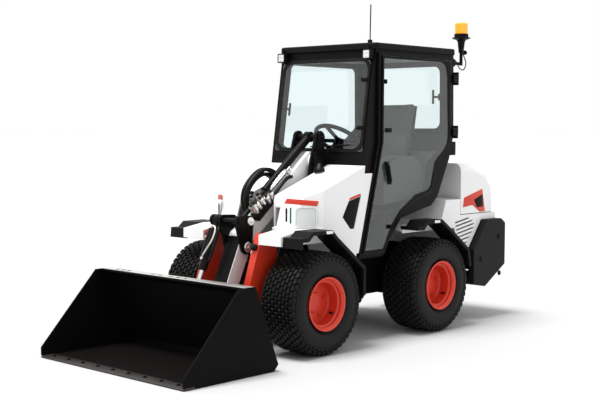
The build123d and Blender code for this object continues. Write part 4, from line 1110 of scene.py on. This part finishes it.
@dataclass
class Cab:
    """Handles, latches, lamps and the inside of the cab."""

    toe: Point2 = (0.150, 0.560)
    brow: Point2 = (-0.055, 1.962)
    pad_cap: float = 0.011
    pad_voxel: float = 0.006
    pad_frames: int = 20
    pad_pressure: float = 4.0
    channel: float = 0.006
    lamp_y: float = 0.393
    lamp_z: float = 1.926
    tail_y: float = 0.406

    def front_x(self, z: float) -> float:
        """Place of the leaning windscreen wall at a height."""
        share = (z - self.toe[1]) / (self.brow[1] - self.toe[1])
        return self.toe[0] + (self.brow[0] - self.toe[0]) * share

    def screen(self) -> Matrix:
        """Drawing on the windscreen: across it to the left, up it, and out of it."""
        lean = (self.brow[0] - self.toe[0], 0.0, self.brow[1] - self.toe[1])
        return tilted((self.front_x(1.2), 0.0, 1.2), (0, 1, 0), lean)

    def screen_parts(self) -> None:
        """Gasket, tabs, handle and wiper of the windscreen."""
        face = self.screen()
        gasket = Shape().prism(rounded(0.812, 0.644, 0.080, (0.0, 0.390)), 0.006, 0.0085, face, 0.001,
                               (rounded(0.764, 0.596, 0.066, (0.0, 0.390)),))
        gasket.piece("screen_gasket", Look.HOSE, "front_frame")
        tabs = Shape()
        for v in (0.235, 0.560):
            tabs.prism(rounded(0.060, 0.026, 0.006, (0.368, v)), 0.0065, 0.016, face, 0.002)
            for u in (0.348, 0.368):
                start = face @ Vector((u, v, 0.014))
                tabs.rod(start, start + (face.to_3x3() @ Vector((0, 0, 0.006))), 0.006, sides=10)
        tabs.piece("screen_tabs", Look.BLACK, "front_frame")
        grip = Shape()
        foot = face @ Vector((-0.372, 0.375, -0.020))
        inward = face.to_3x3() @ Vector((0.35, 0, -1.0)).normalized()
        knob = foot + inward * 0.040
        grip.rod(foot, knob, 0.008)
        up = face.to_3x3() @ Vector((0, 1, 0))
        grip.rod(knob - up * 0.045, knob + up * 0.045, 0.008)
        grip.piece("screen_handle", Look.PLASTIC, "front_frame")
        wiper = Shape().prism(rounded(0.060, 0.036, 0.010, (-0.05, 0.055)), 0.006, 0.030, face, 0.004)
        wiper.rod(face @ Vector((-0.05, 0.055, 0.026)), face @ Vector((0.20, 0.095, 0.020)), 0.006,
                  tip=0.004, sides=10)
        wiper.rod(face @ Vector((-0.06, 0.100, 0.014)), face @ Vector((0.30, 0.118, 0.014)), 0.0045,
                  sides=8)
        wiper.piece("screen_wiper", Look.PLASTIC, "front_frame")

    def door_parts(self) -> None:
        """Handle, grip, clips and edging of the door."""
        y = DOOR_FACE
        handle = Shape().prism(((-0.118, 1.205), (-0.150, 1.205), (-0.188, 1.050), (-0.156, 1.050)), y,
                               y + 0.012, bevel=0.003)
        handle.prism(((-0.124, 1.190), (-0.140, 1.190), (-0.172, 1.068), (-0.156, 1.068)), y + 0.018,
                     y + 0.030, bevel=0.004)
        for x, z in ((-0.134, 1.178), (-0.163, 1.080)):
            handle.rod(spot(x, y + 0.010, z), spot(x, y + 0.022, z), 0.009)
        handle.piece("door_handle", Look.BLACK, "door")
        grip = Shape().rod(spot(-0.775, y - 0.030, 1.655), spot(-0.728, y - 0.052, 1.655), 0.008)
        grip.rod(spot(-0.728, y - 0.052, 1.605), spot(-0.728, y - 0.052, 1.705), 0.008)
        grip.prism(rounded(0.05, 0.05, 0.01, (-0.800, 1.655)), y - 0.044, y - 0.026, bevel=0.003)
        grip.piece("door_grip", Look.PLASTIC, "door")
        clips = Shape()
        for x, z, wide in ((-0.125, 1.745, 0.022), (-0.158, 1.418, 0.060)):
            clips.prism(rounded(wide, 0.030, 0.006, (x, z)), y - 0.020, y + 0.006, bevel=0.002)
        clips.piece("door_clips", Look.BLACK, "door")
        rim = ((-0.089, 1.916), (-0.086, 1.333), (0.105, 0.598), (-0.117, 0.598), (-0.1705, 0.6865),
               (-0.316, 0.853), (-0.516, 0.944), (-0.652, 0.976), (-0.6945, 1.184), (-0.847, 1.292),
               (-0.894, 1.374), (-0.879, 1.916))
        clear = ((-0.106, 1.900), (-0.103, 1.336), (0.083, 0.616), (-0.112, 0.616), (-0.150, 0.680),
                 (-0.207, 0.778), (-0.294, 0.868), (-0.474, 0.970), (-0.612, 0.996), (-0.640, 1.020),
                 (-0.672, 1.107), (-0.690, 1.185), (-0.712, 1.212), (-0.815, 1.290), (-0.842, 1.335),
                 (-0.850, 1.400), (-0.832, 1.813), (-0.818, 1.866), (-0.790, 1.892), (-0.750, 1.902))
        band = Shape().prism(rim, y - 0.0005, y + 0.003, bevel=0.001, holes=(clear,))
        band.piece("door_edging", Look.BLACK, "door")

    def lamps(self) -> None:
        """Square work lamps under the roof's front corners, and the tail lamps."""
        for hand, side in (("left", 1), ("right", -1)):
            y = side * self.lamp_y
            can = Shape().prism(rounded(0.066, 0.066, 0.010, (y, self.lamp_z)), -0.040, 0.006, Plane.FRONT,
                                0.003, (rounded(0.054, 0.054, 0.007, (y, self.lamp_z)),))
            can.prism(rounded(0.055, 0.055, 0.007, (y, self.lamp_z)), -0.042, -0.010, Plane.FRONT, 0.002)
            can.rod(spot(-0.020, y, 1.955), spot(-0.020, y, 1.985), 0.007)
            can.rod(spot(-0.020, y - 0.03, self.lamp_z), spot(-0.020, y + 0.036, self.lamp_z), 0.006)
            can.piece(f"work_lamp_can_{hand}", Look.PLASTIC, "front_frame",
                      ("work_lights",) if side > 0 else ())
            glass = Shape().prism(rounded(0.053, 0.053, 0.006, (y, self.lamp_z)), -0.009, 0.003,
                                  Plane.FRONT, 0.002)
            for dy in (-0.013, 0.013):
                for dz in (-0.013, 0.013):
                    glass.lathe(((0.0, 0.0), (0.011, 0.0), (0.010, 0.003), (0.0, 0.004)),
                                spot(0.0025, y + dy, self.lamp_z + dz), Vector((1, 0, 0)), 14)
            glass.piece(f"work_lamp_glass_{hand}", Look.LENS, "front_frame")
        tail, housing = Shape(), Shape()
        for side in (1, -1):
            for z, tall in ((1.262, 0.040), (1.309, 0.040)):
                tail.prism(rounded(0.036, tall, 0.006, (side * self.tail_y, z)), -0.996, -0.986,
                           Plane.FRONT, 0.002)
            housing.prism(rounded(0.048, 0.100, 0.008, (side * self.tail_y, 1.285)), -0.990, -0.913,
                          Plane.FRONT, 0.004)
        housing.piece("tail_housings", Look.PLASTIC, "front_frame", ("rear_lamps",))
        tail.piece("tail_lenses", Look.RED, "front_frame")

    def beacon(self) -> None:
        """Ribbed amber beacon with its flange, bracket knob and cable."""
        x, y = -1.085, 0.400
        lens = Shape()
        profile = [(0.0, 2.122), (0.046, 2.122), (0.047, 2.130)]
        for k in range(9):
            z = 2.132 + k * 0.0072
            profile += [(0.0485, z), (0.0470, z + 0.0036)]
        profile += [(0.047, 2.198), (0.040, 2.204), (0.0, 2.206)]
        lens.lathe(profile, spot(x, y, 0), Vector((0, 0, 1)), 40)
        lens.piece("beacon_dome", Look.AMBER, "front_frame", ("beacon_lens",))
        base = Shape().lathe(((0.0, 2.084), (0.030, 2.070), (0.034, 2.078), (0.066, 2.090), (0.068, 2.096),
                              (0.052, 2.100), (0.050, 2.124), (0.0, 2.124)), spot(x, y, 0),
                             Vector((0, 0, 1)), 40)
        base.rod(spot(x, y, 1.985), spot(x, y, 2.075), 0.018, tip=0.028)
        base.rod(spot(x, y, 1.990), spot(x - 0.045, y, 1.990), 0.009)
        base.rod(spot(x - 0.038, y, 1.990), spot(x - 0.055, y, 1.990), 0.017, sides=8)
        base.piece("beacon_base", Look.PLASTIC, "front_frame")
        points = [spot(*p) for p in ((-1.072, 0.412, 2.010), (-1.068, 0.436, 1.960),
                                     (-1.090, 0.446, 1.905), (-1.050, 0.448, 1.850),
                                     (-0.990, 0.446, 1.870), (-0.975, 0.436, 1.920),
                                     (-0.962, 0.420, 1.935))]
        hose("beacon_cable", points, 0.004, "front_frame")

    def pad(self, name: str, node: str, outline: Sequence[Point2], half: float, channels: Sequence[float],
            front: Vector) -> None:
        """Stuffed seat pad, swollen by a cloth simulation.

        Args:
            name: The piece's name.
            node: CAD node that it stands for.
            outline: Side view of the slack pad.
            half: Half of its width.
            channels: Places across it of the sewn channels.
            front: Direction that the padded face looks in.
        """
        shape = Shape().prism(outline, -half, half, bevel=0.018)
        mesh = bpy.data.meshes.new(name)
        shape.mesh.to_mesh(mesh)
        shape.mesh.free()
        slack = bpy.data.objects.new(name, mesh)
        scene = bpy.context.scene
        scene.collection.objects.link(slack)
        grid = slack.modifiers.new("grid", "REMESH")
        grid.mode = "VOXEL"
        grid.voxel_size = self.pad_voxel
        slack.data = settled(slack)
        slack.modifiers.clear()
        rest = [v.co.copy() for v in slack.data.vertices]
        cloth = slack.modifiers.new("cloth", "CLOTH")
        cloth.settings.use_pressure = True
        cloth.settings.uniform_pressure_force = self.pad_pressure
        cloth.settings.effector_weights.gravity = 0.0
        cloth.point_cache.frame_start = 1
        cloth.point_cache.frame_end = self.pad_frames
        for number in range(1, self.pad_frames + 1):
            scene.frame_set(number)
        swollen = settled(slack)
        slack.modifiers.clear()
        slack.data = swollen
        scene.frame_set(1)
        for vert, start in zip(swollen.vertices, rest):
            move = vert.co - start
            if move.length > self.pad_cap:
                vert.co = start + move * (self.pad_cap / move.length)
        for vert in slack.data.vertices:
            if vert.normal.dot(front) > 0.3:
                dip = sum(math.exp(-((vert.co.y - y) / self.channel) ** 2) for y in channels)
                vert.co -= front * self.channel * min(dip, 1.0)
        smooth = slack.modifiers.new("even", "CORRECTIVE_SMOOTH")
        smooth.iterations = 4
        smooth.use_only_smooth = True
        slack.data = settled(slack)
        slack.modifiers.clear()
        slack.data.shade_smooth()
        Look.SEAT.dress(slack)
        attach(slack, "front_frame")
        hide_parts(node)
        LOG.info("%s: %d faces, padded", name, len(slack.data.polygons))

    def inside(self) -> None:
        """Seat pads, consoles, trim panels, lever, pedals, dash pod and headliner."""
        self.pad("seat_squab", "seat_cushion", ((-0.208, 1.010), (-0.588, 1.010), (-0.588, 1.084),
                                                (-0.400, 1.080), (-0.208, 1.100)),
                 0.220, (-0.135, 0.135), Vector((0, 0, 1)))
        self.pad("seat_backrest", "seat_back", ((-0.640, 1.110), (-0.712, 1.110), (-0.812, 1.612),
                                                (-0.752, 1.612), (-0.665, 1.300)),
                 0.206, (-0.120, 0.120), Vector((1, 0, 0.19)).normalized())
        console = Shape()
        for side in (1, -1):
            low, high = sorted((side * 0.262, side * 0.384))
            console.prism(((-0.205, 0.900), (-0.215, 1.110), (-0.290, 1.205), (-0.400, 1.240),
                           (-0.560, 1.235), (-0.650, 1.180), (-0.690, 1.000), (-0.690, 0.950)), low, high,
                          bevel=0.020)
        console.piece("side_consoles", Look.SEAT, "front_frame")
        trim = Shape().prism(((0.030, 0.640), (-0.015, 1.165), (-0.600, 1.165), (-0.690, 1.275),
                              (-0.835, 1.390), (-0.850, 1.240), (-0.735, 1.000), (-0.670, 0.940),
                              (-0.330, 0.865), (-0.200, 0.740), (-0.160, 0.640)), -0.3915, -0.384,
                             bevel=0.003)
        trim.prism(((-0.845, 1.260), (-0.730, 1.020), (-0.720, 1.025), (-0.835, 1.265)), -0.380, 0.380,
                   bevel=0.003)
        trim.prism(((0.075, 0.602), (-0.100, 0.602), (-0.100, 0.612), (0.070, 0.612)), -0.370, 0.370,
                   bevel=0.002)
        trim.piece("cab_trim_panels", Look.TRIM, "front_frame")
        lever = Shape()
        lever.rod(spot(-0.330, -0.318, 1.210), spot(-0.310, -0.318, 1.330), 0.009, tip=0.007)
        lever.lathe(((0.0, 0.0), (0.014, 0.004), (0.021, 0.030), (0.024, 0.070), (0.018, 0.092),
                     (0.0, 0.100)),
                    spot(-0.312, -0.318, 1.318), Vector((0.15, 0, 1)), 20)
        lever.lathe(((0.0, 0.0), (0.034, 0.0), (0.026, 0.016), (0.014, 0.036), (0.0, 0.040)),
                    spot(-0.333, -0.318, 1.222), Vector((0.1, 0, 1)), 24)
        lever.piece("drive_lever", Look.PLASTIC, "front_frame")
        pedals = Shape()
        for y in (-0.17, 0.17):
            pedals.prism(rounded(0.07, 0.10, 0.012, (y, 0.0)), -0.006, 0.006,
                         tilted((-0.075, 0.0, 0.70), (0, 1, 0), (0.45, 0, 0.9)), 0.003)
            pedals.rod(spot(-0.072, y, 0.70), spot(-0.020, y, 0.80), 0.009)
        pedals.piece("pedals", Look.PLASTIC, "front_frame")
        dash = Shape().prism(((-0.075, 1.140), (-0.030, 1.140), (-0.010, 1.205), (-0.060, 1.228),
                              (-0.115, 1.190)), -0.200, 0.200, bevel=0.012)
        dash.piece("dash_pod", Look.PLASTIC, "front_frame")
        liner = Shape().prism(((-0.105, 1.918), (-0.880, 1.918), (-0.900, 1.945), (-0.090, 1.945)), -0.385,
                              0.385, bevel=0.008)
        liner.piece("headliner", Look.TRIM, "front_frame")

    def build(self) -> None:
        """Makes the cab's pieces."""
        self.screen_parts()
        self.door_parts()
        self.lamps()
        self.beacon()
        self.inside()


@dataclass
class RearEnd:
    """Side plates of the hood, dark sheets behind the louvres as painted shade, and cap screws of the
    counterweight.
    """

    def hood(self) -> None:
        """Plain orange plate on each side of the hood, with its black inset."""
        y = HOOD_HALF
        plate = Shape().prism(((-1.317, 0.977), (-1.081, 0.919), (-1.069, 0.848), (-1.191, 0.861),
                               (-1.287, 0.806), (-1.356, 0.806)),
                              y - 0.001, y + 0.0025, bevel=0.0008)
        plate.mirrored().piece("hood_plates", Look.ORANGE, "hood")
        inset = Shape().prism(((-1.207, 0.899), (-1.318, 0.938), (-1.329, 0.845), (-1.251, 0.839)),
                              y + 0.001, y + 0.0040, bevel=0.0008)
        inset.mirrored().piece("hood_insets", Look.BLACK, "hood")

    def louvre_shade_sheets(self) -> None:
        """Dark sheet behind the louvres: painted shade in their openings."""
        y = BODY_HALF - 0.018
        screen = Shape().prism(((-0.945, 0.770), (-1.230, 0.790), (-1.230, 0.700), (-1.130, 0.560),
                                (-1.020, 0.560)),
                               y - 0.006, y - 0.001)
        screen.mirrored().piece("louvre_screens", Look.HOSE, "rear_frame")

    def weight(self) -> None:
        """Cap screws in the counterweight's sides and rear face."""
        screws = Shape()
        for x, z in ((-1.472, 0.610), (-1.235, 0.456), (-1.480, 0.330)):
            at = spot(x, 0.498, z)
            screws.rod(at, at + Vector((0, 0.007, 0)), 0.019)
            screws.rod(at + Vector((0, 0.006, 0)), at + Vector((0, 0.011, 0)), 0.010, sides=6)
        screws.mirrored().piece("weight_screws", Look.BLACK, "rear_frame")

    def build(self) -> None:
        """Makes the rear end's pieces."""
        self.hood()
        self.louvre_shade_sheets()
        self.weight()


@dataclass
class Linkage:
    """Hoses, pipes, couplers and pin caps of the lift linkage."""

    start: Point2 = (0.120, 1.335)
    slope: float = math.radians(39.5)
    arch: tuple[Point2, ...] = ((0.720, -0.022), (0.718, 0.028), (0.668, 0.107), (0.590, 0.140),
                                (0.480, 0.140), (0.402, 0.107), (0.352, 0.028), (0.350, -0.022))
    arch_middle: Point2 = (0.535, -0.048)
    hose_radius: float = 0.0135
    left_radius: float = 0.0125
    tube_radius: float = 0.0105
    pipe_radius: float = 0.0065
    tilt_top: Point3 = (0.875, -0.115, 0.835)
    elbow: Point3 = (0.810, 0.0, 0.667)

    def on_boom(self, along: float, across: float, y: float) -> Vector:
        """Point placed along and across the boom."""
        cos, sin = math.cos(self.slope), math.sin(self.slope)
        return spot(self.start[0] + along * cos + across * sin, y,
                    self.start[1] - along * sin + across * cos)

    def hoses(self) -> None:
        """Hoses in an arch over the boom, one on its left edge, and the two tubes of the tilt ram."""
        middle = self.arch_middle
        for k, (y, share) in enumerate(((-0.046, 1.0), (-0.073, 1.0), (-0.060, 0.84), (-0.086, 0.84))):
            points = [self.on_boom(middle[0] + (a - middle[0]) * share,
                                   middle[1] + (c - middle[1]) * share, y)
                      for a, c in self.arch]
            hose(f"boom_hose_{k + 1}", points, self.hose_radius, "boom")
        points = [self.on_boom(a, c, y) for a, c, y in (
            (0.335, -0.020, 0.054), (0.366, 0.002, 0.063), (0.412, 0.014, 0.071), (0.462, 0.018, 0.076),
            (0.530, 0.014, 0.074), (0.600, -0.004, 0.062))]
        hose("boom_hose_left", points, self.left_radius, "boom")
        down, ahead = self.lower_way()
        top = spot(*self.tilt_top)
        tubes = Shape()
        for side in (-1, 1):
            reach = ((0.050, 0.004, 0.0250), (0.060, 0.006, 0.0400), (0.090, 0.008, 0.0410),
                     (0.170, 0.008, 0.0410), (0.250, 0.008, 0.0410), (0.282, 0.006, 0.0400),
                     (0.292, 0.004, 0.0250))
            tubes.tube([top + down * a + ahead * f + Vector((0, side * s, 0)) for a, f, s in reach],
                       self.tube_radius)
        tubes.piece("tilt_tubes", Look.HOSE, "tilt_barrel")

    @staticmethod
    def lower_way() -> tuple[Vector, Vector]:
        """Directions down the boom's lower arm and out of its front."""
        return Vector((0.412, 0.0, -0.911)), Vector((0.911, 0.0, 0.412))

    def couplers(self) -> None:
        """Bank of quick couplers on its plate, and the steel pipes that lead to it."""
        cos, sin = math.cos(self.slope), math.sin(self.slope)
        plate = Shape()
        for along, end, low, high, y0, y1 in ((0.560, 0.780, -0.012, 0.006, 0.036, 0.104),
                                              (0.640, 0.770, 0.004, 0.040, 0.040, 0.100),
                                              (0.550, 0.690, -0.012, 0.012, -0.104, -0.036)):
            corners = ((along, low), (end, low), (end, high), (along, high))
            plate.prism([(self.start[0] + a * cos + c * sin,
                          self.start[1] - a * sin + c * cos) for a, c in corners],
                        y0, y1)
        plate.piece("coupler_plate", Look.BLACK, "boom")
        bank, caps = Shape(), Shape()
        ways = ((0.2, 1.0, 0.1), (-0.3, 0.9, 0.35), (0.5, 0.8, 0.2), (0.0, 0.7, 0.6), (-0.5, 0.8, 0.1))
        for row, along in enumerate((0.586, 0.628, 0.670, 0.712, 0.752)):
            for column, y in enumerate((0.060, 0.086, -0.060, -0.084)):
                if y < 0 and row > 2:
                    continue
                base = self.on_boom(along, 0.004 if row < 2 or y < 0 else 0.036, y)
                a, c, out = ways[(row * 2 + column) % len(ways)]
                tall = 0.064 + 0.008 * ((row + column) % 3) - (0.012 if y < 0 else 0.0)
                up = (self.on_boom(along + a * 0.3, c, 0.0) - self.on_boom(along, 0.0,
                                                                           0.0)).normalized() * tall
                up.y = math.copysign(min(out * tall * 0.30, 0.090 - abs(y) + 0.008), y)
                bank.rod(base, base + up * 0.42, 0.0175, sides=6)
                bank.rod(base + up * 0.38, base + up * 0.82, 0.0150)
                bank.rod(base + up * 0.55, base + up * 0.70, 0.0180)
                caps.rod(base + up * 0.80, base + up, 0.0135, tip=0.0110)
        bank.piece("quick_couplers", Look.ZINC, "boom")
        caps.piece("coupler_caps", Look.HOSE, "boom")
        pipes = Shape()
        for y, c in ((0.044, 0.012), (0.044, 0.034)):
            pipes.tube([self.on_boom(a, b, y) for a, b in ((0.300, c), (0.37, c), (0.44, c), (0.51, c),
                                                           (0.58, c))], self.pipe_radius)
        pipes.tube([self.on_boom(a, b, 0.056) for a, b in ((0.34, 0.0), (0.34, 0.048), (0.37, 0.060),
                                                           (0.44, 0.060),
                                                          (0.53, 0.054), (0.56, 0.030), (0.56, 0.0))],
                   self.pipe_radius)
        pipes.piece("boom_pipes", Look.ZINC, "boom")

    def rams(self) -> None:
        """Steel pipe on the tilt ram, and the black guard down the front of the boom's lower arm."""
        down, ahead = self.lower_way()
        top = spot(*self.tilt_top)
        reach = ((0.060, 0.0250, 0.0), (0.056, 0.048, 0.004), (0.058, 0.052, 0.036), (0.076, 0.050, 0.058),
                 (0.150, 0.050, 0.060), (0.210, 0.046, 0.030), (0.268, 0.044, 0.004), (0.276, 0.0250, 0.0))
        pipe = Shape().tube([top + down * a + ahead * f + Vector((0, s, 0)) for a, f, s in reach], 0.0060)
        for a in (0.060, 0.276):
            pipe.rod(top + down * a + ahead * 0.0245, top + down * a + ahead * 0.042, 0.011, sides=6)
        pipe.piece("tilt_ram_pipe", Look.ZINC, "tilt_barrel")
        elbow = spot(*self.elbow)
        face = Matrix.Translation(elbow) @ Matrix((down, (0, 1, 0), ahead)).transposed().to_4x4()
        guard = Shape().prism(rounded(0.455, 0.110, 0.012, (0.1775, 0.0)), 0.049, 0.058, face)
        guard.piece("boom_guard", Look.BLACK, "boom")

    def caps(self) -> None:
        """Bolted caps on the ends of the main pins."""
        tower = Shape()
        for x, z, r in ((0.160, 1.205, 0.040), (0.137, 1.370, 0.032)):
            tower.lathe(((0.0, 0.0), (r, 0.0), (r, 0.006), (r - 0.004, 0.010), (0.0, 0.010)),
                        spot(x, 0.1135, z), Vector((0, 1, 0)), 28)
            tower.rod(spot(x, 0.122, z), spot(x, 0.132, z), 0.011, sides=6)
        tower.mirrored().piece("tower_pin_caps", Look.BLACK, "front_frame")
        crank = Shape()
        for x, z, r in ((0.810, 0.667, 0.034), (0.787, 0.832, 0.028)):
            crank.lathe(((0.0, 0.0), (r, 0.0), (r, 0.005), (r - 0.004, 0.009), (0.0, 0.009)),
                        spot(x, 0.0905, z), Vector((0, 1, 0)), 28)
            crank.rod(spot(x, 0.098, z), spot(x, 0.107, z), 0.010, sides=6)
        crank.piece("crank_pin_caps", Look.ZINC, "bell_crank")

    def build(self) -> None:
        """Makes the linkage's pieces."""
        self.hoses()
        self.couplers()
        self.rams()
        self.caps()


@dataclass
class BucketTrim:
    """Bright top plate of the bucket, and the bolts of its edge."""

    half: float = 0.668
    top: float = 0.518
    rear: float = 1.315
    deep: float = 0.085
    bolt_x: float = 1.826
    bolt_y: float = 0.58
    bolt_z: float = 0.0165

    def build(self) -> None:
        """Makes the bucket's pieces."""
        lead = self.rear + self.deep
        middle = (self.rear + lead) / 2 + 0.001
        holes = [rounded(0.026, 0.040, 0.004, (middle, y)) for y in (-0.190, -0.125, -0.020, 0.045, 0.110)]
        for y in (-0.560, -0.505, -0.450):
            holes.append([(middle - 0.028, y), (middle - 0.028, y + 0.018), (middle + 0.028, y + 0.040),
                          (middle + 0.028, y + 0.022)])
        half = self.half - 0.012
        plate = Shape().prism(((self.rear + 0.006, -half), (lead - 0.004, -half), (lead - 0.004, half),
                               (self.rear + 0.006, half)),
                              self.top - 0.001, self.top + 0.003, Plane.TOP, 0.001, holes)
        plate.piece("bucket_top_plate", Look.ZINC, "bucket")
        bolts = Shape().take(Repeats.mesh(
            Repeats.row(), bolt_head(0.018, 0.007), Look.BUCKET, Count=9,
            Start=spot(self.bolt_x, -self.bolt_y, self.bolt_z),
            End=spot(self.bolt_x, self.bolt_y, self.bolt_z), Facing=(0.0, 0.0, 1.0)))
        bolts.piece("edge_bolts", Look.BUCKET, "bucket")


def main() -> None:
    """Builds the studio and dresses every sub-assembly in order."""
    logging.basicConfig(level=logging.INFO, format="%(name)s: %(message)s")
    for part in (Studio(), CadDress(), Wheels(), Nose(), Cab(), RearEnd(), Linkage(), BucketTrim()):
        part.build()


if __name__ == "__main__":
    main()
